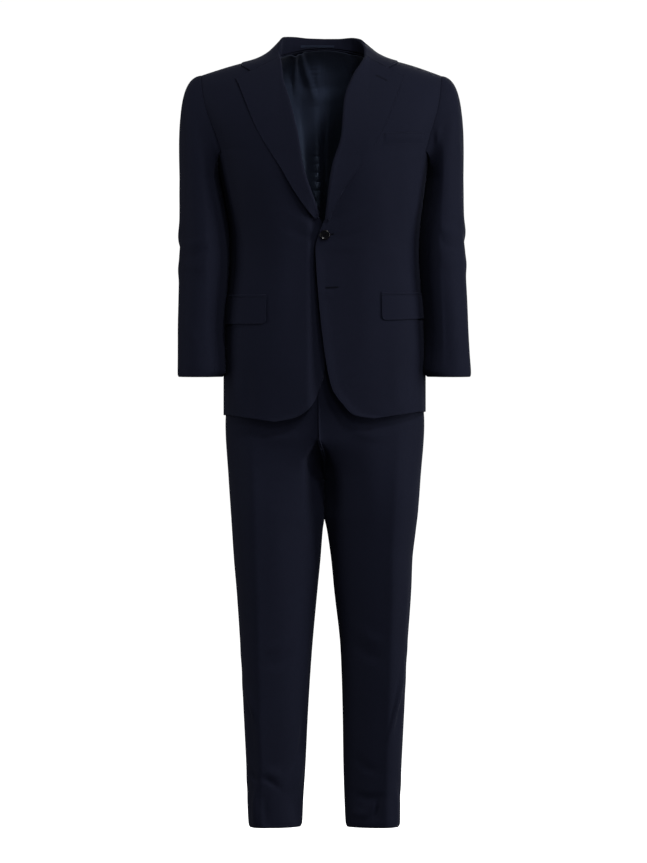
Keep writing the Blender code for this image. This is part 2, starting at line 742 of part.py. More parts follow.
def collar_section(seam, fold, edge, sag):
    """The middle line of the collar's section: up its stand, over its fold and down its fall."""
    up = unit(fold - seam)
    out = edge - fold
    out = unit(out - up * np.dot(out, up))
    centre = fold - up * FOLD_RADIUS + out * FOLD_RADIUS
    line = [seam, seam + 0.5 * (fold - up * FOLD_RADIUS - seam)]
    for angle in np.radians(FOLD_ANGLES):
        line.append(centre + FOLD_RADIUS * (np.cos(angle) * out + np.sin(angle) * up))
    start = line[-1]
    for step in range(1, FALL_STEPS + 1):
        share = step / FALL_STEPS
        line.append(start + (edge - start) * share - sag * np.sin(np.pi * share) * up)
    line = np.array(line)
    along = np.gradient(line, axis=0)
    flat = np.stack([along @ out, along @ up], axis=-1)
    normal = -flat[:, 1:] * out + flat[:, :1] * up
    return line, unit(normal)


def collar_stations(side):
    """Seam, fold and edge points of the collar and its fall's sag, from centre back forwards."""
    table = COLLAR[side]
    stations = []
    for along in COLLAR_STATIONS:
        x = sign(side) * table["seam_x"](along)
        face = "back" if along < SEAM_CHANGE else "front"
        forward = (along - SEAM_CHANGE) / (COLLAR_STATIONS[-1] - SEAM_CHANGE)
        height = back_neck_height(side, x) if face == "back" else NECK_HEIGHT - FRONT_SEAM_DROP * forward
        seam = body_face(side, face, x, height)
        seam = seam + COLLAR_SEAM_LIFT * face_normal(side, face, x, height)
        fold = [sign(side) * table["fold_x"](along), table["fold_y"](along), table["fold_z"](along)]
        x, depth = sign(side) * table["edge_x"](along), table["edge_y"](along)
        face = "back" if depth > SHOULDER_DEPTH else "front"
        height = body_height(side, face, x, depth)
        edge = points(x, depth, height)
        edge = edge + COLLAR_EDGE_LIFT * face_normal(side, face, x, height)
        sag = FALL_SAG * smooth_step(along, *SAG_BETWEEN)
        stations.append((seam, np.array(fold), edge, sag))
    return stations


def add_collar():
    right = collar_stations("right")[::-1]
    left = collar_stations("left")[1:]
    sections = [collar_section(*station) for station in right + left]
    line = np.array([section[0] for section in sections])
    normals = np.array([section[1] for section in sections])
    half = CLOTH / 2
    add_wall("collar", line + half * normals, line - half * normals)


# Sleeves.


def armhole(side, angle):
    """A point of the armhole: angle is 0 at the shoulder, 90 in front, 180 under the arm."""
    outer, top = SHOULDER_POINT[side]
    if FRONT_ARC < angle < BACK_ARC:
        share = (angle - FRONT_ARC) / (BACK_ARC - FRONT_ARC)
        turn = SIDE_SEAMS["front"] + share * (SIDE_SEAMS["back"] - SIDE_SEAMS["front"])
        return body_ring(side, turn, CHEST_LINE - scoop(share))
    if angle <= FRONT_ARC:
        face, share = "front", angle / FRONT_ARC
    else:
        face, share = "back", (360.0 - angle) / (360.0 - BACK_ARC)
    rise = np.cos(np.radians(90.0 * share))
    level = CHEST_LINE + rise * (top - CHEST_LINE)
    x = sign(side) * seam_x(side, face, level)
    height = CHEST_LINE + rise * (shoulder_height(side, x) - CHEST_LINE)
    return body_face(side, face, x, height)


def sleeve_ring(side, angle, height):
    """A point of the sleeve below its head."""
    table = SLEEVE[side]
    outer, inner = table["outer"](height), table["inner"](height)
    turn = np.radians(angle)
    power = 2.0 / SLEEVE_SQUARE
    across = np.sign(np.cos(turn)) * np.abs(np.cos(turn)) ** power
    along = np.sign(np.sin(turn)) * np.abs(np.sin(turn)) ** power
    x = (outer + inner) / 2 + across * (outer - inner) / 2
    y = table["middle"](height) - along * table["half_depth"](height)
    x = np.maximum(x, body_side(side, y, height) + SLEEVE_CLEAR)
    return points(sign(side) * x, y, height)


def sleeve_point(side, angle, down):
    """The sleeve: down is 0 at the armhole, 1 at the biceps and 2 at the cuff."""
    if down >= 1.0:
        return sleeve_ring(side, angle, BICEPS + (down - 1.0) * (CUFF - BICEPS))
    start = armhole(side, angle % 360.0) + np.array([sign(side) * ARMHOLE_GAP, 0.0, 0.0])
    end = sleeve_ring(side, angle, BICEPS)
    length = np.linalg.norm(end - start)
    leave = CAP_START * length * np.array([sign(side), 0.0, -SLEEVE_AXIS_DROP])
    arrive = CAP_END * length * np.array([0.0, 0.0, -1.0])
    t = down
    rest = (1 + 2 * t) * (1 - t) ** 2 * start + t * t * (3 - 2 * t) * end
    return rest + t * (1 - t) ** 2 * leave + t * t * (t - 1) * arrive


def sleeve_normal(side, angle, down):
    """The sleeve's outward normal, or at the armhole the way out from its middle."""
    if down == 0.0:
        middle = np.mean([armhole(side, a) for a in ARMHOLE_ANGLES], axis=0)
        return unit(armhole(side, angle % 360.0) - middle)
    before, after = angle - TURN_SAMPLE, angle + TURN_SAMPLE
    above = max(down - DOWN_SAMPLE, 0.0)
    along = sleeve_point(side, after, down) - sleeve_point(side, before, down)
    lower = sleeve_point(side, angle, down + DOWN_SAMPLE) - sleeve_point(side, angle, above)
    return unit(np.cross(along, lower)) * sign(side)


def sleeve_angles():
    """The columns round a sleeve, which meet the rows of the panels at the armhole."""
    front = FRONT_ARC * np.linspace(0.0, 1.0, SHOULDER_ROWS + 1)
    under = np.linspace(FRONT_ARC, BACK_ARC, SCOOP_STEPS + 1)
    back = BACK_ARC + (360.0 - BACK_ARC) * np.linspace(0.0, 1.0, SHOULDER_ROWS + 1)
    return front, under, back


def add_sleeve(name, side, angles):
    cuts = [(level - BICEPS) / (CUFF - BICEPS) + 1.0 for level in SLEEVE_LEVELS[side]]
    downs = list(SLEEVE_CAP) + cuts
    grid = np.array([[sleeve_point(side, angle, down) for angle in angles] for down in downs])
    normals = np.array([[sleeve_normal(side, angle, down) for angle in angles] for down in downs])
    add_cloth(f"{name}_{side}", grid, normals, ("first_column", "last_column"))


def add_sleeves(side):
    front, under, back = sleeve_angles()
    top = np.concatenate([back[BACK_SEAM_STEP:] - 360.0, front[1:]])
    add_sleeve("top_sleeve", side, top)
    add_sleeve("under_sleeve", side, np.concatenate([under, back[1:BACK_SEAM_STEP + 1]]))


# What lies on the jacket.


def turn_at(side, x, height):
    """The turn round the body at which its front is this far out."""
    share = np.abs(x) / BODY[side](height)
    return np.degrees(np.arcsin(share ** (BODY["square"](height) / 2)))


def add_on_body(name, side, turn, height, off, thickness):
    """A wall that follows the body's surface, off it by a small gap."""
    outer = body_ring(side, turn, height)
    normals = outward(lambda a, b: body_ring(side, a, b), turn, height) * sign(side)
    add_cloth(name, outer + (off + thickness) * normals, normals, (), thickness)


def add_pocket(side):
    """A flap with a rounded front corner, and the jetting along its top."""
    flap = FLAPS[side]
    start = turn_at(side, flap["start"], flap["top"])
    distance = np.array(FLAP_PLACES)
    share = distance / distance[-1]
    turn = start + (flap["turn"] - start) * share
    bite = np.clip(1 - distance / FLAP_CORNER, 0.0, 1.0)
    rounding = FLAP_CORNER * (1 - np.sqrt(1 - bite**2))
    bottom = flap["bottom"] + flap["rise"] * share + rounding
    down = np.array(FLAP_ROWS)[:, None]
    height = flap["top"] + (bottom - flap["top"]) * down
    turns = np.broadcast_to(turn, height.shape)
    add_on_body(f"flap_{side}", side, turns, height, FLAP_OFF, FLAP_CLOTH)
    jet_top = flap["top"] + SEAM_GAP + JET_HEIGHT
    height = np.array([[jet_top], [flap["top"] + SEAM_GAP]]) + 0.0 * turn
    turns = np.broadcast_to(turn, height.shape)
    add_on_body(f"jet_{side}", side, turns, height, JET_OFF, LINING_CLOTH)


def add_breast_welt():
    """The welt of the left chest pocket, rising a little towards the arm."""
    share = np.linspace(0.0, 1.0, WELT_ACROSS)
    x = WELT_FROM[0] + (WELT_TO[0] - WELT_FROM[0]) * share
    low = WELT_FROM[1] + (WELT_TO[1] - WELT_FROM[1]) * share
    height = np.array([low + WELT_HEIGHT, low + WELT_HEIGHT / 2, low])
    x = np.broadcast_to(x, height.shape)
    normals = face_normal("left", "front", x, height)
    outer = body_face("left", "front", x, height) + (FLAP_OFF + LINING_CLOTH) * normals
    add_cloth("breast_welt", outer, normals, (), LINING_CLOTH)


def add_button(name, x, back_y, height, radius):
    """A turned button with a raised rim, its back face at back_y."""
    form = bmesh.new()
    line = [form.verts.new((r * radius, 0.0, h * BUTTON_THICKNESS)) for r, h in BUTTON_PROFILE]
    edges = [form.edges.new(pair) for pair in zip(line, line[1:])]
    bmesh.ops.spin(
        form, geom=line + edges, cent=(0.0, 0.0, 0.0), axis=(0.0, 0.0, 1.0),
        angle=np.radians(360.0), steps=BUTTON_SIDES, use_merge=True,
    )
    bmesh.ops.remove_doubles(form, verts=form.verts, dist=1e-6)
    bmesh.ops.recalc_face_normals(form, faces=form.faces)
    mesh = bpy.data.meshes.new(name)
    form.to_mesh(mesh)
    form.free()
    button = new_object(name, mesh, "horn")
    button.location = (x, back_y, height)
    button.rotation_euler = (np.radians(90.0), 0.0, 0.0)


def add_buttons():
    """The fastened button on the left front, and the other on the right front behind its edge."""
    upper, lower = BUTTON_UPPER, BUTTON_LOWER
    surface = float(body_depth("left", "front", upper["x"], upper["height"]))
    back_y = surface - upper["sunk"]
    add_button("button_upper", upper["x"], back_y, upper["height"], upper["radius"])
    surface = float(body_depth("right", "front", -lower["x"], lower["height"])) + UNDERLAP
    back_y = surface - lower["sunk"]
    add_button("button_lower", lower["x"], back_y, lower["height"], lower["radius"])


# Inside the jacket.


def add_lining(side):
    """Half of the satin lining of the upper back, which shows in the neck opening."""
    rows = back_rows(side, back_shares(side))[LINING_FROM_ROW:]
    x = np.array([row[0] for row in rows])
    height = np.array([row[1] for row in rows])
    normals = face_normal(side, "back", x, height)
    outer = body_face(side, "back", x, height) - (CLOTH + LINING_OFF) * normals
    add_cloth(f"lining_{side}", outer, normals, ("first_column",), LINING_CLOTH, "satin")


def add_hanger_loop():
    """The loop across the inside of the back neck, standing off it in the middle."""
    x = np.linspace(*LOOP_SPAN, LOOP_POINTS)
    share = (x - x[0]) / (x[-1] - x[0])
    y = body_depth("right", "back", np.abs(x), back_neck_height("right", x))
    y = y - LOOP_OFF - LOOP_BOW * np.sin(np.pi * share)
    outer = points(x, y, np.array(LOOP_HEIGHTS)[:, None])
    normals = np.broadcast_to(np.array([0.0, 1.0, 0.0]), outer.shape)
    add_cloth("hanger_loop", outer, normals, (), LINING_CLOTH, "satin")


# The trousers.


def leg_half(side, face, share, height):
    """X and Y of half a leg: share is 0 at the outseam and 1 at the inseam."""
    table = LEG[side]
    outer, inner = table["outer"](height), table["inner"](height)
    crease = inner + (outer - inner) * CREASE_SHARE[face]
    first = share <= CREASE_COLUMN
    local = np.where(first, share / CREASE_COLUMN, (1 - share) / (1 - CREASE_COLUMN))
    turn = np.radians(90.0 * local)
    end = np.where(first, outer, inner)
    x = crease + (end - crease) * np.abs(np.cos(turn)) ** (2 / LEG_SQUARE)
    return x, table[face](height) * np.abs(np.sin(turn)) ** (2 / LEG_SQUARE), crease


def trouser_point(side, face, share, height):
    """A point of the trousers. Above the fork the share runs on to the centre seam."""
    x, leg_y, crease = leg_half(side, face, share, height)
    out = np.clip(x / LEG[side]["outer"](height), 0.0, 1.0)
    hip_y = HIP[face](height) * (1 - out**HIP_SQUARE) ** (1 / HIP_SQUARE)
    fall = np.clip((FORK_START - height) / (FORK_START - CROTCH), 0.0, 1.0)
    fork = 1 - np.sqrt(1 - fall * fall)
    ease = smooth_step(-height, -LEG_EASE[0], -LEG_EASE[1])
    legs = ease + (fork - ease) * share**FORK_SPREAD
    y = hip_y + (leg_y - hip_y) * legs
    press = smooth_step(-height, -CREASE_FROM, -CREASE_FULL)
    y = y + CREASE_HEIGHT * press * np.exp(-np.abs(x - crease) / CREASE_REACH)
    x = sign(side) * x
    if face == "front":
        x = x - FLY_SHIFT * share**FLY_SPREAD * smooth_step(height, *FLY_FROM)
        y = -y
    return points(x, y, height)


def trouser_levels():
    """The heights of the trousers' rows, closest where the fork curves under."""
    turn = np.radians(np.linspace(90.0, 0.0, FORK_STEPS + 1))[:-1]
    fork = FORK_START + (CROTCH - FORK_START) * np.sin(turn)
    return np.array(list(LEG_LEVELS[::-1]) + list(fork) + list(HIP_LEVELS[::-1]))


def add_trouser_panel(side, face):
    height = trouser_levels()[:, None] + 0.0 * np.array(LEG_SHARES)
    share = np.broadcast_to(np.array(LEG_SHARES), height.shape)
    outer = trouser_point(side, face, share, height)
    low = np.clip(share - DOWN_SAMPLE, 0.0, 1.0)
    high = np.clip(share + DOWN_SAMPLE, 0.0, 1.0)
    along = trouser_point(side, face, high, height) - trouser_point(side, face, low, height)
    centre = height[:, -1] > CROTCH + SAMPLE
    along[centre, -1] = outer[centre, -1] - outer[centre, -2]
    up = trouser_point(side, face, share, height + SAMPLE)
    up = up - trouser_point(side, face, share, height - SAMPLE)
    normals = unit(np.cross(along, up)) * sign(side) * (1.0 if face == "back" else -1.0)
    borders = ("first_column", "last_column")
    add_cloth(f"trouser_{face}_{side}", outer, normals, borders, TROUSER_CLOTH)


def add_waistband(side):
    """Half of the waistband, from the fly round to the centre back."""
    front = np.linspace(1.0, 0.0, WAISTBAND_FRONT)
    back = np.linspace(0.0, 1.0, WAISTBAND_BACK)[1:]
    columns = []
    for height in (WAIST_SEAM, WAIST_TOP):
        ahead = trouser_point(side, "front", front, height)
        behind = trouser_point(side, "back", back, height)
        columns.append(np.concatenate([ahead, behind]))
    outer = np.array(columns)
    along = np.gradient(outer, axis=1)
    normals = unit(np.cross(along, np.array([0.0, 0.0, 1.0]))) * sign(side)
    add_cloth(f"waistband_{side}", outer, normals, ("first_column", "last_column"))


def add_fly_shield():
    """The shield behind the fly, which closes the front of the trousers."""
    x = np.linspace(*SHIELD_ACROSS, 4)
    height = np.array(SHIELD_LEVELS)[:, None] + 0.0 * x
    depth = -HIP["front"](height) + TROUSER_CLOTH + SHIELD_OFF
    outer = points(np.broadcast_to(x, height.shape), depth, height)
    normals = np.broadcast_to(np.array([0.0, -1.0, 0.0]), outer.shape)
    add_cloth("fly_shield", outer, normals, (), TROUSER_CLOTH)


def main():
    for obj in list(bpy.data.objects):
        bpy.data.objects.remove(obj, do_unlink=True)
    for side in ("right", "left"):
        add_front(side)
        add_side(side)
        add_back(side)
        add_lapel(side)
        add_sleeves(side)
        add_lining(side)
        add_pocket(side)
        for face in ("front", "back"):
            add_trouser_panel(side, face)
        add_waistband(side)
    add_collar()
    add_hanger_loop()
    add_breast_welt()
    add_buttons()
    add_fly_shield()


main()
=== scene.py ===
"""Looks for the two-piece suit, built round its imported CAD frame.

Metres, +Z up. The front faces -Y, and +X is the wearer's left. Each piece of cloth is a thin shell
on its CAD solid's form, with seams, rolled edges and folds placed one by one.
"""

import bmesh
import bpy
import numpy as np
from mathutils import Matrix, Vector


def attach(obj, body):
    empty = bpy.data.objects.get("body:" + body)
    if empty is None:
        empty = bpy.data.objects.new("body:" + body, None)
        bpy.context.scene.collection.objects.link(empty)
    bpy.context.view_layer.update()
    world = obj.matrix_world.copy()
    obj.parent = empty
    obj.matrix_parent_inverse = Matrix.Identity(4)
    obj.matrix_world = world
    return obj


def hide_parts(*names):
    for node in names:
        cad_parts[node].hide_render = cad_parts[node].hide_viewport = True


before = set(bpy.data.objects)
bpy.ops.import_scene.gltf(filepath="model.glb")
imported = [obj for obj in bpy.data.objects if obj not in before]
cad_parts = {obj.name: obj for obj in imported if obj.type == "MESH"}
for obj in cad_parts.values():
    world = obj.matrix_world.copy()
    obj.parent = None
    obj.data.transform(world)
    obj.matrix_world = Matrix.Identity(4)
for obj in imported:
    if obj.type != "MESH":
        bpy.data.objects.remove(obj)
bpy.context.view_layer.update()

# Sizes shared with the CAD.
CLOTH = 0.0020
TROUSER_CLOTH = 0.0015
LINING_CLOTH = 0.0010
SEAM_GAP = 0.0003

CHEST_LINE = -0.184
ARMHOLE_DROP = 0.028
SIDE_SEAMS = {"front": 65.0, "back": 118.0}
NECK_HALF = 0.090
NECK_HEIGHT = 0.014
NECK_RUN = 0.026
SHOULDER_DEPTH = 0.004
SHOULDER_CURVE = 0.0048
BACK_NECK_RISE = 0.016
FULLNESS = {"front": 1.05, "back": 0.80}
HEIGHT_STEPS = 8

BICEPS = -0.240
CUFF = -0.646
WAIST_TOP = -0.555
WAIST_SEAM = -0.595
FORK_START = -0.770
CROTCH = -0.855
FLY_SHIFT = 0.012
FLY_SPREAD = 6
FLY_FROM = (-0.815, -0.770)

# The jacket's body: half widths, depths to the front and back, and how square each level is.
BODY_COLUMNS = "height right left front back square"
BODY_ROWS = (
    (-0.760, 0.207, 0.208, 0.140, 0.124, 3.1),
    (-0.652, 0.207, 0.208, 0.139, 0.122, 3.1),
    (-0.600, 0.206, 0.208, 0.138, 0.119, 3.2),
    (-0.554, 0.205, 0.206, 0.137, 0.115, 3.2),
    (-0.494, 0.201, 0.202, 0.135, 0.107, 3.3),
    (-0.420, 0.194, 0.196, 0.133, 0.099, 3.3),
    (-0.385, 0.193, 0.195, 0.134, 0.099, 3.3),
    (-0.350, 0.194, 0.196, 0.137, 0.103, 3.3),
    (-0.283, 0.204, 0.2035, 0.145, 0.113, 3.2),
    (-0.211, 0.219, 0.2145, 0.150, 0.120, 3.1),
    (-0.184, 0.225, 0.221, 0.150, 0.121, 3.0),
    (-0.100, 0.226, 0.222, 0.150, 0.121, 3.0),
)
BODY_MIDDLE = 0.011

# How far the armhole seam has spread from the side seam to the shoulder point, by its rise.
ARMHOLE_COLUMNS = "rise front back"
ARMHOLE_ROWS = (
    (0.00, 0.00, 0.00),
    (0.22, 0.31, 0.20),
    (0.36, 0.52, 0.38),
    (0.62, 0.83, 0.72),
    (0.80, 0.94, 0.90),
    (1.00, 1.00, 1.00),
)
SHOULDER_POINT = {"right": (0.252, -0.027), "left": (0.240, -0.028)}

# The fold where each front turns back into its lapel, by height.
ROLL_COLUMNS = "height right left"
ROLL_ROWS = (
    (-0.336, -0.008, 0.002),
    (-0.300, -0.020, 0.008),
    (-0.221, -0.046, 0.019),
    (-0.157, -0.056, 0.037),
    (-0.084, -0.073, 0.043),
    (-0.035, -0.087, 0.061),
    (-0.014, -0.088, 0.074),
    (0.014, -0.090, 0.090),
)

# Each front below the fold: the level of its side seam, and its edge's place on that row.
FRONT_COLUMNS = "row side_level edge_x edge_height"
FRONT_ROWS = {
    "left": (
        (-0.717, 0.100, -0.731),
        (-0.700, 0.062, -0.7245),
        (-0.680, 0.036, -0.700),
        (-0.652, 0.016, -0.670),
        (-0.600, 0.006, -0.630),
        (-0.554, -0.004, -0.560),
        (-0.494, -0.011, -0.494),
        (-0.420, -0.0165, -0.420),
        (-0.385, -0.018, -0.385),
        (-0.350, -0.010, -0.352),
    ),
    "right": (
        (-0.724, -0.100, -0.738),
        (-0.700, -0.062, -0.730),
        (-0.680, -0.034, -0.7135),
        (-0.652, -0.014, -0.682),
        (-0.600, -0.001, -0.640),
        (-0.554, 0.006, -0.570),
        (-0.494, 0.014, -0.494),
        (-0.420, 0.018, -0.420),
        (-0.385, 0.018, -0.385),
        (-0.350, 0.006, -0.352),
    ),
}
FRONT_COLUMN_COUNT = 64
FRONT_DOWN = 150
SIDE_ACROSS = 56
SIDE_DOWN = 130
BACK_DOWN = 128
YOKE_ROWS = 50
SPREAD_TURN = 78.0
UPPER_LEVELS = (-0.312, -0.265, -0.218, CHEST_LINE)
HEM_DIP = 0.012
HEM_DIP_REACH = 0.02

# The right front passes under the left one, this far behind it.
UNDERLAP = 0.0105
UNDERLAP_FROM = -0.036
UNDERLAP_FULL = -0.014
UNDERLAP_UP_TO = (-0.345, -0.260)

# How far each front's free edge stands off below its button, over what width and from what level.
EDGE_LIFT = {"left": 0.0034, "right": 0.0024}
EDGE_LIFT_REACH = 0.013
EDGE_LIFT_LEVELS = {"left": (-0.372, -0.420), "right": (-0.620, -0.680)}

# Where the lapel's rolled fold starts and ends its turn, and its grid.
LAPEL_ROLL = (-85.0, 78.0)
LAPEL_DOWN = 120
LAPEL_ACROSS = 34
LAPEL_FLAT_FROM = 20

# Each lapel, from the gorge down: its fold, its outer edge, and how far each stands off the front.
LAPEL_COLUMNS = "row roll_height edge_x edge_height roll_lift edge_lift"
LAPEL_ROWS = {
    "right": (
        (0.0040, -0.181, -0.037, 0.0065, 0.0014),
        (-0.018, -0.172, -0.056, 0.0060, 0.0022),
        (-0.043, -0.164, -0.076, 0.0050, 0.0020),
        (-0.070, -0.155, -0.099, 0.0045, 0.0016),
        (-0.098, -0.146, -0.122, 0.0045, 0.0008),
        (-0.128, -0.135, -0.145, 0.0045, 0.0008),
        (-0.158, -0.122, -0.168, 0.0050, 0.0020),
        (-0.190, -0.105, -0.195, 0.0060, 0.0030),
        (-0.221, -0.084, -0.228, 0.0070, 0.0052),
        (-0.252, -0.066, -0.260, 0.0080, 0.0070),
        (-0.282, -0.047, -0.289, 0.0080, 0.0076),
        (-0.304, -0.031, -0.310, 0.0070, 0.0072),
        (-0.321, -0.018, -0.325, 0.0050, 0.0056),
    ),
    "left": (
        (0.0040, 0.163, -0.034, 0.0065, 0.0010),
        (-0.018, 0.155, -0.054, 0.0060, 0.0004),
        (-0.043, 0.147, -0.075, 0.0050, 0.0002),
        (-0.070, 0.139, -0.097, 0.0045, 0.0002),
        (-0.098, 0.130, -0.120, 0.0045, 0.0002),
        (-0.128, 0.118, -0.146, 0.0045, 0.0002),
        (-0.158, 0.104, -0.172, 0.0050, 0.0004),
        (-0.190, 0.088, -0.198, 0.0060, 0.0008),
        (-0.221, 0.067, -0.226, 0.0070, 0.0018),
        (-0.252, 0.045, -0.256, 0.0075, 0.0036),
        (-0.282, 0.029, -0.287, 0.0070, 0.0050),
        (-0.304, 0.019, -0.308, 0.0060, 0.0048),
        (-0.324, 0.010, -0.328, 0.0045, 0.0045),
    ),
}

# The collar from centre back to each front end: its seam, its fold and its outer edge.
COLLAR_COLUMNS = "along seam_x fold_x fold_y fold_z edge_x edge_y"
COLLAR_ROWS = {
    "right": (
        (0, 0.000, 0.000, 0.0560, 0.0505, 0.000, 0.0960),
        (1, 0.034, 0.033, 0.0535, 0.0515, 0.048, 0.0900),
        (2, 0.062, 0.060, 0.0435, 0.0535, 0.092, 0.0730),
        (3, 0.083, 0.080, 0.0220, 0.0520, 0.130, 0.0460),
        (4, 0.091, 0.0885, -0.0020, 0.0395, 0.157, 0.0120),
        (5, 0.0915, 0.0895, -0.0220, 0.0245, 0.170, -0.0250),
        (6, 0.0905, 0.0885, -0.0350, 0.0150, 0.150, -0.0590),
    ),
    "left": (
        (0, 0.000, 0.000, 0.0560, 0.0505, 0.000, 0.0960),
        (1, 0.034, 0.028, 0.0535, 0.0505, 0.048, 0.0900),
        (2, 0.062, 0.052, 0.0435, 0.0515, 0.088, 0.0730),
        (3, 0.083, 0.069, 0.0220, 0.0470, 0.120, 0.0460),
        (4, 0.091, 0.0785, -0.0020, 0.0365, 0.141, 0.0120),
        (5, 0.0915, 0.0830, -0.0220, 0.0235, 0.150, -0.0230),
        (6, 0.0905, 0.0860, -0.0350, 0.0150, 0.129, -0.0570),
    ),
}
COLLAR_LAST = 6.0
COLLAR_ACROSS = 84
COLLAR_SEAM_LIFT = 0.0018
COLLAR_EDGE_LIFT = {"right": 0.0006, "left": 0.0010}
NOTCH_LIFT = 0.0014
NOTCH_FROM = (4.3, 5.0)
GORGE_FROM = 4.4
SEAM_CHANGE = 3.6
FRONT_SEAM_DROP = 0.012
FOLD_RADIUS = 0.0024
FOLD_TURN = (180.0, 5.0)
STAND_POINTS = 7
STAND_SHARE = 0.85
TURN_POINTS = 11
FALL_POINTS = 17
FALL_SAG = {"right": 0.0058, "left": 0.0048}
SAG_BETWEEN = (1.0, 3.0)

# Each sleeve below its head: outer and inner sides, and its depth from front to back.
SLEEVE_COLUMNS = "height outer inner middle half_depth"
SLEEVE_ROWS = {
    "right": (
        (-0.646, 0.2980, 0.2080, -0.050, 0.046),
        (-0.640, 0.300, 0.2060, -0.050, 0.047),
        (-0.600, 0.300, 0.2060, -0.047, 0.050),
        (-0.554, 0.300, 0.2050, -0.043, 0.054),
        (-0.494, 0.299, 0.2000, -0.038, 0.059),
        (-0.434, 0.2985, 0.1935, -0.033, 0.063),
        (-0.392, 0.298, 0.1905, -0.029, 0.067),
        (-0.353, 0.298, 0.1930, -0.024, 0.070),
        (-0.283, 0.297, 0.2030, -0.012, 0.074),
        (-0.240, 0.296, 0.2140, -0.005, 0.077),
    ),
    "left": (
        (-0.646, 0.2980, 0.2110, -0.050, 0.046),
        (-0.640, 0.300, 0.2090, -0.050, 0.047),
        (-0.600, 0.298, 0.2080, -0.047, 0.050),
        (-0.554, 0.2955, 0.2060, -0.043, 0.054),
        (-0.494, 0.293, 0.2010, -0.038, 0.059),
        (-0.434, 0.290, 0.1950, -0.033, 0.063),
        (-0.392, 0.2885, 0.1925, -0.029, 0.067),
        (-0.353, 0.287, 0.1940, -0.024, 0.070),
        (-0.283, 0.285, 0.2030, -0.012, 0.074),
        (-0.240, 0.284, 0.2100, -0.005, 0.077),
    ),
}
SLEEVE_CLEAR = 0.0004
SLEEVE_SOFTNESS = 0.0006
SLEEVE_BEHIND = 0.0090
SLEEVE_SLOPE = 0.72
SLEEVE_TURN = 1.5
SLEEVE_CUFF = (-0.540, -0.646)
SLEEVE_CUFF_LOSS = 0.6
SLEEVE_FREE = (-0.634, -0.646)
SLEEVE_SQUARE = 2.2
SLEEVE_AXIS_DROP = 0.08
CAP_ROWS = 42
ARM_ROWS = 96
CAP_START = 0.72
CAP_END = 1.30
CAP_SPACING = 1.3
UNDERARM_POWER = 3
SLEEVE_CENTRE_SHIFT = 0.03
SLEEVE_INSIDE = (0.05, 0.45)
SCOOP_FULLNESS = 0.8
FRONT_ARC = 118.0
BACK_ARC = 242.0
BACK_SEAM_ANGLE = 289.2

# The hip pockets: where each flap starts, how far round it runs, and its height.
FLAPS = {
    "right": {"start": 0.118, "turn": 77.0, "top": -0.484, "bottom": -0.538, "rise": 0.0},
    "left": {"start": 0.116, "turn": 76.5, "top": -0.479, "bottom": -0.531, "rise": 0.005},
}
# A flap's columns are placed along this nominal run. Along the cloth the flap is shorter.
FLAP_RUN = 0.142
FLAP_NEAR = 0.012
FLAP_NEAR_COLUMNS = 12
FLAP_FAR_FROM = 0.015
FLAP_FAR_COLUMNS = 34
FLAP_ROWS = 18
FLAP_STAND = 0.0010
FLAP_CLOTH = 0.0015
FLAP_OFF = 0.0010
FLAP_CORNER = 0.009
JET_HEIGHT = 0.005
JET_OFF = 0.0004
JET_ROUND = 0.0005
JET_ROWS = 7
WELT_FROM = (0.120, -0.174)
WELT_TO = (0.203, -0.170)
WELT_HEIGHT = 0.023
WELT_OFF = 0.0008
WELT_SINK = 0.0016
WELT_SIDE = 0.006
WELT_TOP = 0.6
WELT_COLUMNS = 34
WELT_ROWS = 12

LINING_OFF = 0.0016
LINING_SINK = 0.0006
LINING_LOW = -0.352
LINING_ACROSS = 110
LINING_DOWN = 80
LINING_UP = 80
LINING_MIDDLE = (0.0, -0.05)
LOOP_SPAN = (-0.048, 0.020)
LOOP_HEIGHTS = (0.0362, 0.0322)
LOOP_OFF = 0.0115
LOOP_BOW = 0.0025
LOOP_LEAN = 0.0030
LOOP_ROUND = 0.0008
LOOP_ACROSS = 30
LOOP_DOWN = 7

BUTTON_RADIUS = 0.0105
BUTTON_THICKNESS = 0.0032
BUTTON_UPPER = {"x": 0.001, "height": -0.358, "sunk": 0.0012, "radius": BUTTON_RADIUS}
BUTTON_LOWER = {"x": 0.002, "height": -0.467, "sunk": 0.0006, "radius": 0.95 * BUTTON_RADIUS}

# The depths of the trousers above the fork.
HIP_COLUMNS = "height front back"
HIP_ROWS = (
    (-0.900, 0.103, 0.112),
    (-0.828, 0.106, 0.119),
    (-0.742, 0.108, 0.123),
    (-0.700, 0.110, 0.122),
    (-0.650, 0.112, 0.117),
    (-0.595, 0.112, 0.108),
    (-0.555, 0.111, 0.100),
)
HIP_SQUARE = 2.5

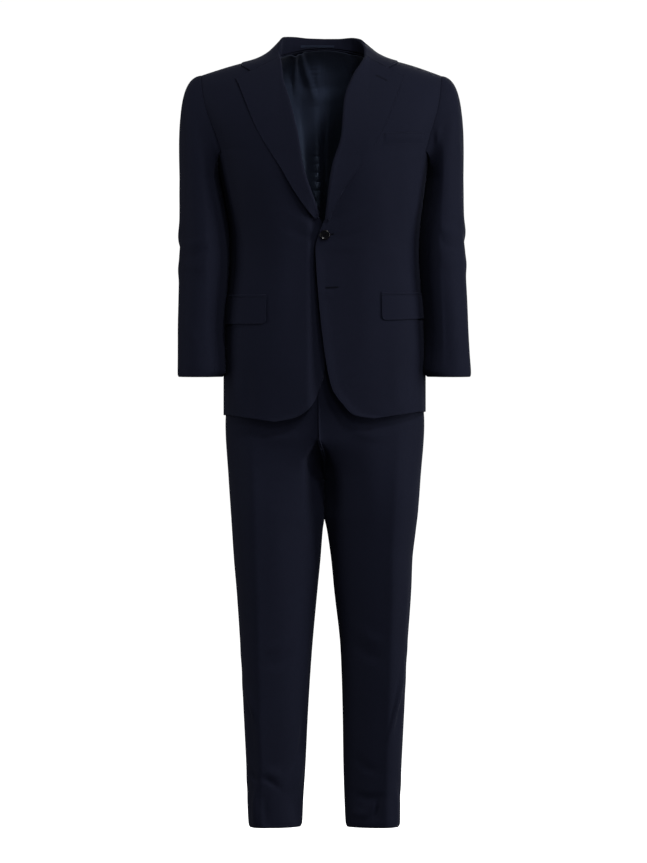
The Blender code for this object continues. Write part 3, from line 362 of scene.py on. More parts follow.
# Each leg: its outer side, which runs on up to the waist, its inner side and its depths.
LEG_COLUMNS = "height outer inner front back"
LEG_ROWS = {
    "right": (
        (-1.568, 0.152, 0.0485, 0.061, 0.063),
        (-1.561, 0.1555, 0.0452, 0.062, 0.064),
        (-1.513, 0.158, 0.043, 0.063, 0.066),
        (-1.451, 0.160, 0.039, 0.066, 0.068),
        (-1.328, 0.166, 0.033, 0.073, 0.071),
        (-1.205, 0.172, 0.025, 0.081, 0.076),
        (-1.082, 0.180, 0.014, 0.089, 0.083),
        (-1.021, 0.185, 0.008, 0.093, 0.088),
        (-0.959, 0.189, 0.003, 0.096, 0.095),
        (-0.927, 0.191, -0.0010, 0.098, 0.100),
        (-0.855, 0.196, -0.0015, 0.101, 0.110),
        (-0.742, 0.203, 0.0, 0.104, 0.117),
        (-0.650, 0.194, 0.0, 0.106, 0.117),
        (-0.555, 0.180, 0.0, 0.106, 0.117),
    ),
    "left": (
        (-1.568, 0.152, 0.0470, 0.061, 0.063),
        (-1.561, 0.1555, 0.0435, 0.062, 0.064),
        (-1.513, 0.156, 0.041, 0.063, 0.066),
        (-1.451, 0.158, 0.039, 0.066, 0.068),
        (-1.328, 0.164, 0.037, 0.073, 0.071),
        (-1.205, 0.170, 0.033, 0.081, 0.076),
        (-1.082, 0.178, 0.020, 0.089, 0.083),
        (-1.021, 0.180, 0.014, 0.093, 0.088),
        (-0.959, 0.187, 0.005, 0.096, 0.095),
        (-0.927, 0.191, -0.0010, 0.098, 0.100),
        (-0.855, 0.197, -0.0015, 0.101, 0.110),
        (-0.742, 0.205, 0.0, 0.104, 0.117),
        (-0.650, 0.196, 0.0, 0.106, 0.117),
        (-0.555, 0.181, 0.0, 0.106, 0.117),
    ),
}
LEG_SQUARE = 2.15
FORK_SPREAD = 2.5
FORK_SEAM = 14
LEG_EASE = (-0.700, -0.930)
CREASE_SHARE = {"front": 0.74, "back": 0.36}
CREASE_HEIGHT = 0.004
CREASE_REACH = 0.014
CREASE_FROM = -0.680
CREASE_FULL = -0.900
CREASE_COLUMN = 0.45
TROUSER_HEM = -1.568
LEGS_PRESS = 0.0002
LEG_ROWS_BELOW = 176
FORK_ROWS = 34
HIP_ROWS_ABOVE = 40
LEG_ACROSS = 62
LEG_MIDDLE = slice(20, 40)
WAISTBAND_ROWS = 10
WAISTBAND_COLUMNS = 40

# The hollow at the fork: its sides and middle, and how far it draws the front in there.
HOLLOW_COLUMNS = "height right middle left depth"
HOLLOW_ROWS = (
    (-1.080, -0.024, 0.002, 0.046, 0.00),
    (-0.950, -0.036, 0.003, 0.046, 0.20),
    (-0.880, -0.041, 0.002, 0.044, 0.34),
    (-0.835, -0.043, -0.004, 0.036, 0.32),
    (-0.816, -0.044, -0.007, 0.024, 0.24),
    (-0.795, -0.030, -0.011, 0.008, 0.12),
    (-0.775, -0.016, -0.012, -0.006, 0.00),
)
HOLLOW_EDGE = 0.62
SHIELD_ACROSS = (-0.034, 0.010)
SHIELD_LEVELS = (-0.600, -0.735)
SHIELD_OFF = 0.0040
SHIELD_COLUMNS = 14
SHIELD_ROWS = 36

# How each shell is finished.
EDGE_LOOP = 0.0012
RIM_PAST = 0.00025
SEAM_DIP = 0.0002
LOOP_LIMIT = 0.5

# Below these, a vector or an edge counts as having no length.
NO_LENGTH = 1e-12
NO_EDGE = 1e-9
NORMAL_STEP = 1e-4

MM = 0.001


class Curve:
    """A smooth curve through the values of a table's column, which never overshoots them."""

    def __init__(self, places, values):
        self.places = np.array(places, float)
        self.values = np.array(values, float)
        steps = np.diff(self.values) / np.diff(self.places)
        before, after = steps[:-1], steps[1:]
        same_way = before * after > 0
        total = np.where(same_way, before + after, 1.0)
        inner = np.where(same_way, 2 * before * after / total, 0.0)
        self.slopes = np.concatenate([steps[:1], inner, steps[-1:]])

    def __call__(self, place):
        place = np.clip(place, self.places[0], self.places[-1])
        last = len(self.places) - 2
        i = np.clip(np.searchsorted(self.places, place, side="right") - 1, 0, last)
        width = self.places[i + 1] - self.places[i]
        t = (place - self.places[i]) / width
        start = (1 + 2 * t) * (1 - t) ** 2 * self.values[i]
        end = t * t * (3 - 2 * t) * self.values[i + 1]
        leave = t * (1 - t) ** 2 * width * self.slopes[i]
        arrive = t * t * (t - 1) * width * self.slopes[i + 1]
        return start + end + leave + arrive


def curves(columns, rows):
    """Each named column of a table, as a smooth curve over its first column."""
    values = np.array(rows, float)
    names = columns.split()
    return {name: Curve(values[:, 0], values[:, k + 1]) for k, name in enumerate(names[1:])}


def numbered(rows):
    """The rows with their number put first."""
    return [(k, *row) for k, row in enumerate(rows)]


BODY = curves(BODY_COLUMNS, BODY_ROWS)
ARMHOLE_SPREAD = curves(ARMHOLE_COLUMNS, ARMHOLE_ROWS)
ROLL = curves(ROLL_COLUMNS, ROLL_ROWS)
SLEEVE = {side: curves(SLEEVE_COLUMNS, rows) for side, rows in SLEEVE_ROWS.items()}
HIP = curves(HIP_COLUMNS, HIP_ROWS)
LEG = {side: curves(LEG_COLUMNS, rows) for side, rows in LEG_ROWS.items()}
COLLAR = {side: curves(COLLAR_COLUMNS, rows) for side, rows in COLLAR_ROWS.items()}
HOLLOW = curves(HOLLOW_COLUMNS, HOLLOW_ROWS)
LAPEL = {side: curves(LAPEL_COLUMNS, numbered(rows)) for side, rows in LAPEL_ROWS.items()}


def sign(side):
    """The X direction of the wearer's left or right side."""
    return 1.0 if side == "left" else -1.0


def unit(vectors):
    length = np.linalg.norm(vectors, axis=-1, keepdims=True)
    return vectors / np.maximum(length, NO_LENGTH)


def smooth_step(value, start, end):
    """0 before start, 1 after end, and a soft change between."""
    t = np.clip((value - start) / (end - start), 0.0, 1.0)
    return t * t * (3 - 2 * t)


def points(x, y, z):
    return np.stack(np.broadcast_arrays(x, y, z), axis=-1)


# The jacket's body, as the CAD has it.


def body_ring(side, turn, height):
    """A point of the body at a level: turn is 0 at centre front, 90 at the side, 180 at the back."""
    turn = np.radians(turn)
    power = 2.0 / BODY["square"](height)
    across, along = np.sin(turn), np.cos(turn)
    depth = np.where(along > 0, -BODY["front"](height), BODY["back"](height))
    x = sign(side) * BODY[side](height) * np.sign(across) * np.abs(across) ** power
    return points(x, BODY_MIDDLE + depth * np.abs(along) ** power, height)


def body_side(side, y, height):
    """How far out the body reaches at a depth."""
    y = y - BODY_MIDDLE
    square = BODY["square"](height)
    depth = np.where(y < 0, BODY["front"](height), BODY["back"](height))
    share = np.clip(np.abs(y) / depth, 0.0, 1.0)
    return BODY[side](height) * (1 - share**square) ** (1 / square)


def shoulder_height(side, x):
    """The height of the shoulder line over a place, and of its run on past the neck."""
    outer, height = SHOULDER_POINT[side]
    out = np.abs(x) - NECK_HALF
    share = out / (outer - NECK_HALF)
    line = NECK_HEIGHT + (height - NECK_HEIGHT) * share
    line = line + SHOULDER_CURVE * np.sin(np.pi * np.clip(share, 0.0, 1.0))
    inside = NECK_HEIGHT + NECK_RUN * (1 - (x / NECK_HALF) ** 2)
    return np.where(out > 0, line, inside)


def seam_x(side, face, height):
    """How far out a front or back panel reaches: to its side seam, or above it to the armhole."""
    turn = np.radians(SIDE_SEAMS[face])
    share = np.abs(np.sin(turn)) ** (2.0 / BODY["square"](height))
    below = BODY[side](height) * share
    top = SHOULDER_POINT[side][1]
    rise = (height - CHEST_LINE) / (top - CHEST_LINE)
    spread_out = ARMHOLE_SPREAD[face](np.clip(rise, 0.0, 1.0))
    chest = BODY[side](CHEST_LINE) * np.abs(np.sin(turn)) ** (2.0 / BODY["square"](CHEST_LINE))
    above = chest + (SHOULDER_POINT[side][0] - chest) * spread_out
    return np.where(height <= CHEST_LINE, below, above)


def body_depth(side, face, x, height):
    """Y of the front or back of the body. Above the chest line it domes over to the shoulder."""
    level = np.minimum(height, CHEST_LINE)
    reach = seam_x(side, face, CHEST_LINE)
    across = np.where(height > CHEST_LINE, x / seam_x(side, face, height) * reach, x)
    square = BODY["square"](level)
    share = np.clip(np.abs(across) / BODY[side](level), 0.0, 1.0)
    direction = -1.0 if face == "front" else 1.0
    depth = BODY_MIDDLE + direction * BODY[face](level) * (1 - share**square) ** (1 / square)
    rise = (height - CHEST_LINE) / (shoulder_height(side, x) - CHEST_LINE)
    rise = np.clip(rise, 0.0, 1.0)
    dome = np.sqrt(1 - rise * rise) ** FULLNESS[face]
    return SHOULDER_DEPTH + (depth - SHOULDER_DEPTH) * dome


def body_height(side, face, x, depth):
    """The height at which the yoke reaches a depth: body_depth, turned round."""
    height = shoulder_height(side, x)
    for _ in range(HEIGHT_STEPS):
        across = x / seam_x(side, face, height) * seam_x(side, face, CHEST_LINE)
        full = body_depth(side, face, across, CHEST_LINE)
        share = np.clip((depth - SHOULDER_DEPTH) / (full - SHOULDER_DEPTH), 0.0, 1.0)
        rise = np.sqrt(1 - share ** (2 / FULLNESS[face]))
        height = CHEST_LINE + rise * (shoulder_height(side, x) - CHEST_LINE)
    return height


def underlap(side, x, height):
    """How far back the right front is pushed where it passes under the left one."""
    if side == "left":
        return 0.0 * x
    across = smooth_step(x, UNDERLAP_FROM, UNDERLAP_FULL)
    return UNDERLAP * across * (1 - smooth_step(height, *UNDERLAP_UP_TO))


def body_face(side, face, x, height):
    depth = body_depth(side, face, x, height)
    if face == "front":
        depth = depth + underlap(side, x, height)
    return points(x, depth, height)


def face_normal(side, face, x, height):
    """Unit normals of the front or back of the body."""
    step = NORMAL_STEP
    low = np.minimum(height, shoulder_height(side, x) - 3 * step)
    slope_x = body_depth(side, face, x + step, low) - body_depth(side, face, x - step, low)
    slope_z = body_depth(side, face, x, low + step) - body_depth(side, face, x, low - step)
    way = 1.0 if face == "front" else -1.0
    return unit(points(way * slope_x / (2 * step), -way, way * slope_z / (2 * step)))


# Materials.


def new_material(name):
    made = bpy.data.materials.new(name)
    made.use_nodes = True
    nodes, links = made.node_tree.nodes, made.node_tree.links
    return made, nodes, links, nodes["Principled BSDF"]


def texture_node(nodes, links, kind, source, **settings):
    node = nodes.new(kind)
    for key, value in settings.items():
        if key in node.inputs:
            node.inputs[key].default_value = value
        else:
            setattr(node, key, value)
    links.new(source, node.inputs["Vector"])
    return node


def mix_colour(nodes, links, factor, first, second):
    node = nodes.new("ShaderNodeMix")
    node.data_type = "RGBA"
    node.inputs[6].default_value = first
    node.inputs[7].default_value = second
    links.new(factor, node.inputs[0])
    return node.outputs[2]


def math_node(nodes, links, operation, first, second):
    node = nodes.new("ShaderNodeMath")
    node.operation = operation
    for socket, value in zip(node.inputs, (first, second)):
        if isinstance(value, float):
            socket.default_value = value
        else:
            links.new(value, socket)
    return node.outputs[0]


def remap(nodes, links, value, low, high):
    node = nodes.new("ShaderNodeMapRange")
    node.inputs["To Min"].default_value = low
    node.inputs["To Max"].default_value = high
    links.new(value, node.inputs["Value"])
    return node.outputs["Result"]


def add_bump(nodes, links, shader, height, strength, distance):
    node = nodes.new("ShaderNodeBump")
    node.inputs["Strength"].default_value = strength
    node.inputs["Distance"].default_value = distance
    links.new(height, node.inputs["Height"])
    links.new(node.outputs["Normal"], shader.inputs["Normal"])


# The darkest and the lightest tone of each material.
WOOL_TONES = (0.0046, 0.0052, 0.0108, 1), (0.0096, 0.0108, 0.0215, 1)
SATIN_TONES = (0.0220, 0.0290, 0.0520, 1), (0.0330, 0.0430, 0.0750, 1)
HORN_TONES = (0.0010, 0.0011, 0.0020, 1), (0.0030, 0.0030, 0.0042, 1)
THREAD_TONES = (0.0010, 0.0011, 0.0018, 1), (0.0030, 0.0032, 0.0052, 1)


def make_wool():
    """Fine worsted wool: a close twill, a little heather and a soft bloom."""
    made, nodes, links, shader = new_material("wool_cloth")
    place = nodes.new("ShaderNodeTexCoord")
    uv, spot = place.outputs["UV"], place.outputs["Object"]
    twill = texture_node(
        nodes, links, "ShaderNodeTexWave", uv, wave_type="BANDS", bands_direction="DIAGONAL",
        Scale=628.0, Distortion=0.6, Detail=1.0,
    )
    yarn = texture_node(nodes, links, "ShaderNodeTexNoise", uv, Scale=1500.0, Detail=2.0)
    cloud = texture_node(nodes, links, "ShaderNodeTexNoise", spot, Scale=7.0, Detail=3.0)
    fleck = math_node(nodes, links, "MULTIPLY", twill.outputs["Fac"], yarn.outputs["Fac"])
    tone = math_node(nodes, links, "MULTIPLY_ADD", cloud.outputs["Fac"], 0.5)
    links.new(fleck, tone.node.inputs[2])
    colour = mix_colour(nodes, links, tone, *WOOL_TONES)
    links.new(colour, shader.inputs["Base Color"])
    links.new(remap(nodes, links, cloud.outputs["Fac"], 0.66, 0.80), shader.inputs["Roughness"])
    shader.inputs["Specular IOR Level"].default_value = 0.08
    shader.inputs["Specular Tint"].default_value = (0.62, 0.68, 1.0, 1)
    shader.inputs["Sheen Weight"].default_value = 0.035
    shader.inputs["Sheen Roughness"].default_value = 0.5
    shader.inputs["Sheen Tint"].default_value = (0.62, 0.68, 1.0, 1)
    add_bump(nodes, links, shader, fleck, 0.35, 0.00025)
    return made


def make_satin():
    """Shiny woven lining, with fine threads across it."""
    made, nodes, links, shader = new_material("satin_lining")
    place = nodes.new("ShaderNodeTexCoord")
    uv, spot = place.outputs["UV"], place.outputs["Object"]
    thread = texture_node(
        nodes, links, "ShaderNodeTexWave", uv, wave_type="BANDS", bands_direction="Y",
        Scale=900.0, Distortion=0.4, Detail=1.0,
    )
    cloud = texture_node(nodes, links, "ShaderNodeTexNoise", spot, Scale=22.0, Detail=3.0)
    colour = mix_colour(nodes, links, cloud.outputs["Fac"], *SATIN_TONES)
    links.new(colour, shader.inputs["Base Color"])
    links.new(remap(nodes, links, cloud.outputs["Fac"], 0.31, 0.39), shader.inputs["Roughness"])
    shader.inputs["Specular IOR Level"].default_value = 0.50
    shader.inputs["Specular Tint"].default_value = (0.52, 0.68, 1.0, 1)
    shader.inputs["Sheen Weight"].default_value = 0.05
    add_bump(nodes, links, shader, thread.outputs["Fac"], 0.15, 0.0001)
    return made


def make_horn():
    """Polished dark horn, with faint streaks."""
    made, nodes, links, shader = new_material("horn_button")
    place = nodes.new("ShaderNodeTexCoord")
    spot = place.outputs["Object"]
    streak = texture_node(
        nodes, links, "ShaderNodeTexNoise", spot, Scale=160.0, Detail=4.0, Distortion=1.2)
    colour = mix_colour(nodes, links, streak.outputs["Fac"], *HORN_TONES)
    links.new(colour, shader.inputs["Base Color"])
    links.new(remap(nodes, links, streak.outputs["Fac"], 0.22, 0.32), shader.inputs["Roughness"])
    shader.inputs["Specular IOR Level"].default_value = 0.06
    shader.inputs["Coat Weight"].default_value = 0.30
    shader.inputs["Coat Roughness"].default_value = 0.05
    add_bump(nodes, links, shader, streak.outputs["Fac"], 0.08, 0.0002)
    return made


def make_thread():
    """Twisted sewing thread, close to the cloth's colour."""
    made, nodes, links, shader = new_material("thread")
    place = nodes.new("ShaderNodeTexCoord")
    spot = place.outputs["Object"]
    twist = texture_node(nodes, links, "ShaderNodeTexNoise", spot, Scale=2600.0, Detail=2.0)
    colour = mix_colour(nodes, links, twist.outputs["Fac"], *THREAD_TONES)
    links.new(colour, shader.inputs["Base Color"])
    shader.inputs["Roughness"].default_value = 0.70
    shader.inputs["Specular IOR Level"].default_value = 0.06
    add_bump(nodes, links, shader, twist.outputs["Fac"], 0.3, 0.0002)
    return made


MATERIALS = {"wool": make_wool(), "satin": make_satin(), "horn": make_horn(), "thread": make_thread()}


# Shells of cloth.


def cross_normals(grid):
    """Unit normals of a grid, all on one side of it."""
    return unit(np.cross(np.gradient(grid, axis=1), np.gradient(grid, axis=0)))


def grid_normals(grid, middle):
    """Unit normals of a grid, on the side away from a vertical line through middle."""
    normals = cross_normals(grid)
    away = grid - np.array([middle[0], middle[1], 0.0])
    away[..., 2] = 0.0
    return normals * np.sign(np.mean(np.sum(normals * away, axis=-1)))


def with_loop(grid, axis, at_start):
    """The grid with one more line of points, close inside its first or last line."""
    grid = np.moveaxis(grid, axis, 0)
    if not at_start:
        grid = grid[::-1]
    edge, following = grid[0, ..., :3], grid[1, ..., :3]
    length = np.linalg.norm(following - edge, axis=-1, keepdims=True)
    share = np.minimum(EDGE_LOOP / np.maximum(length, NO_EDGE), LOOP_LIMIT)
    grid = np.concatenate([grid[:1], grid[:1] + (grid[1:2] - grid[:1]) * share, grid[1:]])
    if not at_start:
        grid = grid[::-1]
    return np.moveaxis(grid, 0, axis)


def border_pull(grid):
    """The unit step from each border point towards the inside of the grid, and 0 elsewhere."""
    pull = np.zeros_like(grid)
    pull[:, 0] += unit(grid[:, 1] - grid[:, 0])
    pull[:, -1] += unit(grid[:, -2] - grid[:, -1])
    pull[0] += unit(grid[1] - grid[0])
    pull[-1] += unit(grid[-2] - grid[-1])
    return pull


def cloth_lengths(grid):
    """How far along and across the cloth each point is, in metres."""
    across = np.linalg.norm(np.diff(grid, axis=1), axis=-1).mean(axis=0)
    down = np.linalg.norm(np.diff(grid, axis=0), axis=-1).mean(axis=1)
    u = np.concatenate([[0.0], np.cumsum(across)])
    v = np.concatenate([[0.0], np.cumsum(down)])
    return np.stack(np.meshgrid(u, v), axis=-1)


def add_shell(node, grid, normals, thickness, slot="wool", dip=SEAM_DIP):
    """A closed wall of cloth with a rounded rim, which stands for a CAD node.

    The grid is the cloth's outer face. dip is how far its border sinks, as a sewn seam does. The
    rim reaches a hair past the border, so that neighbours close their seam.
    """
    data = np.concatenate([grid, normals, cloth_lengths(grid)], axis=-1)
    for axis in (0, 1):
        data = with_loop(with_loop(data, axis, True), axis, False)
    outer, normals, lengths = data[..., :3], unit(data[..., 3:6]), data[..., 6:]
    rows, columns = outer.shape[:2]
    pull = border_pull(outer)
    border = (np.linalg.norm(pull, axis=-1, keepdims=True) > 0).astype(float)
    face = outer + RIM_PAST * pull - dip * border * normals
    back = outer - thickness * normals - RIM_PAST * pull
    middle = outer - (thickness + dip) / 2 * normals - RIM_PAST * pull
    rim = [(i, 0) for i in range(rows)]
    rim += [(rows - 1, j) for j in range(1, columns)]
    rim += [(i, columns - 1) for i in reversed(range(rows - 1))]
    rim += [(0, j) for j in reversed(range(1, columns - 1))]
    rim = np.array(rim)
    count = rows * columns
    number = np.arange(count).reshape(rows, columns)
    quads = np.stack(
        [number[:-1, :-1], number[:-1, 1:], number[1:, 1:], number[1:, :-1]], axis=-1
    ).reshape(-1, 4)
    edge = number[rim[:, 0], rim[:, 1]]
    bulged = 2 * count + np.arange(len(rim))
    following = np.roll(edge, -1), np.roll(bulged, -1)
    first = np.stack([edge, bulged, following[1], following[0]], axis=-1)
    second = np.stack([bulged, edge + count, following[0] + count, following[1]], axis=-1)
    faces = np.concatenate([quads, quads[:, ::-1] + count, first, second])
    across = np.cross(outer[0, 1] - outer[0, 0], outer[1, 0] - outer[0, 0])
    if np.dot(across, normals[0, 0]) < 0:
        faces = faces[:, ::-1]
    vertices = np.concatenate(
        [face.reshape(-1, 3), back.reshape(-1, 3), middle[rim[:, 0], rim[:, 1]]])
    flat = lengths.reshape(-1, 2)
    uv = np.concatenate([flat, flat, lengths[rim[:, 0], rim[:, 1]]])
    piece = add_mesh(f"{node}_cloth", node, vertices, faces, uv, slot)


def add_mesh(name, node, vertices, faces, uv, slot):
    mesh = bpy.data.meshes.new(name)
    mesh.from_pydata(vertices.tolist(), [], [list(face) for face in faces])
    loops = np.zeros(len(mesh.loops), int)
    mesh.loops.foreach_get("vertex_index", loops)
    layer = mesh.uv_layers.new(name="UVMap")
    layer.data.foreach_set("uv", uv[loops].astype(np.float32).ravel())
    mesh.materials.append(MATERIALS[slot])
    mesh.shade_smooth()
    obj = bpy.data.objects.new(name, mesh)
    bpy.context.scene.collection.objects.link(obj)
    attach(obj, "root")
    if node:
        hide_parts(node)
    return obj


# Folds: soft ridges and troughs along listed lines.


# A fold's curve, how it fades at its ends, and the shallow dips along both of its sides.
FOLD_POINTS = 28
FOLD_ENDS = (0.02, 0.98)
FOLD_TAPER = 0.7
DIP_DEPTH = 0.30
DIP_REACH = 2.1

# The slow swell: its number of waves, how upright they are, their rates and their phases.
SWELL_WAVES = 7
SWELL_UPRIGHT = 0.6
SWELL_RATES = (18, 46)
SWELL_PHASES = (0, 6.28)


def smooth_path(path):
    """Points along a smooth curve through a short path."""
    where = np.linspace(0, len(path) - 1, FOLD_POINTS)
    slopes = np.gradient(path, axis=0)
    i = np.minimum(where.astype(int), len(path) - 2)
    t = (where - i)[:, None]
    start = (1 + 2 * t) * (1 - t) ** 2 * path[i]
    end = t * t * (3 - 2 * t) * path[i + 1]
    return start + end + t * (1 - t) ** 2 * slopes[i] + t * t * (t - 1) * slopes[i + 1]


def fold_height(across, height, folds):
    """How far out a set of folds moves each place.

    The lean makes one flank steeper. Each fold fades out at both ends.
    """
    total = np.zeros(np.broadcast(across, height).shape)
    for size, width, lean, *path in folds:
        size, width = MM * size, MM * width
        line = smooth_path(MM * np.array(path, float))
        off_x = across[..., None] - line[:, 0]
        off_z = height[..., None] - line[:, 1]
        far = off_x**2 + off_z**2
        nearest = np.argmin(far, axis=-1)
        way = unit(np.gradient(line, axis=0))[nearest]
        off_x = np.take_along_axis(off_x, nearest[..., None], axis=-1)[..., 0]
        off_z = np.take_along_axis(off_z, nearest[..., None], axis=-1)[..., 0]
        flank = way[..., 0] * off_z - way[..., 1] * off_x
        past = np.maximum(np.sqrt(off_x**2 + off_z**2) - np.abs(flank), 0.0)
        along = nearest / (len(line) - 1)
        taper = np.sin(np.pi * np.clip(along, *FOLD_ENDS)) ** FOLD_TAPER
        reach = width * (1 + lean * np.tanh(flank / width))
        q = flank / reach
        shape = np.exp(-q * q) - DIP_DEPTH * np.exp(-((q / DIP_REACH) ** 2))
        total += size * taper * shape * np.exp(-((past / width) ** 2))
    return total


def waviness(grid, size, seed):
    """A slow, uneven swell of the cloth, as hand-pressed wool has."""
    rng = np.random.default_rng(seed)
    total = np.zeros(grid.shape[:2])
    for _ in range(SWELL_WAVES):
        way = rng.normal(size=3)
        way[2] *= SWELL_UPRIGHT
        way = way / np.linalg.norm(way) * rng.uniform(*SWELL_RATES)
        total += np.sin(grid @ way + rng.uniform(*SWELL_PHASES))
    return size * total / SWELL_WAVES**0.5


# Each view: the normal's axis and direction that it looks at, and the axis across it.
VIEWS = {"front": (1, -1.0, 0), "back": (1, 1.0, 0), "right": (0, -1.0, 1), "left": (0, 1.0, 1)}

# How strongly the folds of each part of the suit are drawn.
FOLD_STRENGTH = {"jacket": 1.3, "sleeve": 1.1, "leg": 1.8}
LEG_SIDE_LOSS = 0.75

# The slow swell of each part's cloth: its height, and the seed of its waves.
SWELL = {"jacket": (0.0005, 1), "sleeve": (0.0006, 3), "leg": (0.0006, 5)}

# How squarely cloth faces a view to take its folds, and how far to the side it faces to lose them.
VIEW_FACING = (0.10, 0.60)
FLANK_FACING = (0.78, 0.96)
LEG_SIDE_FACING = (0.93, 1.0)

# Where the folds die out: below the chest line on the yoke and the side body, and near the armhole.
YOKE_FADE = 0.03
SIDE_FADE = 0.05
ARMHOLE_FADE = (0.80, 1.0)

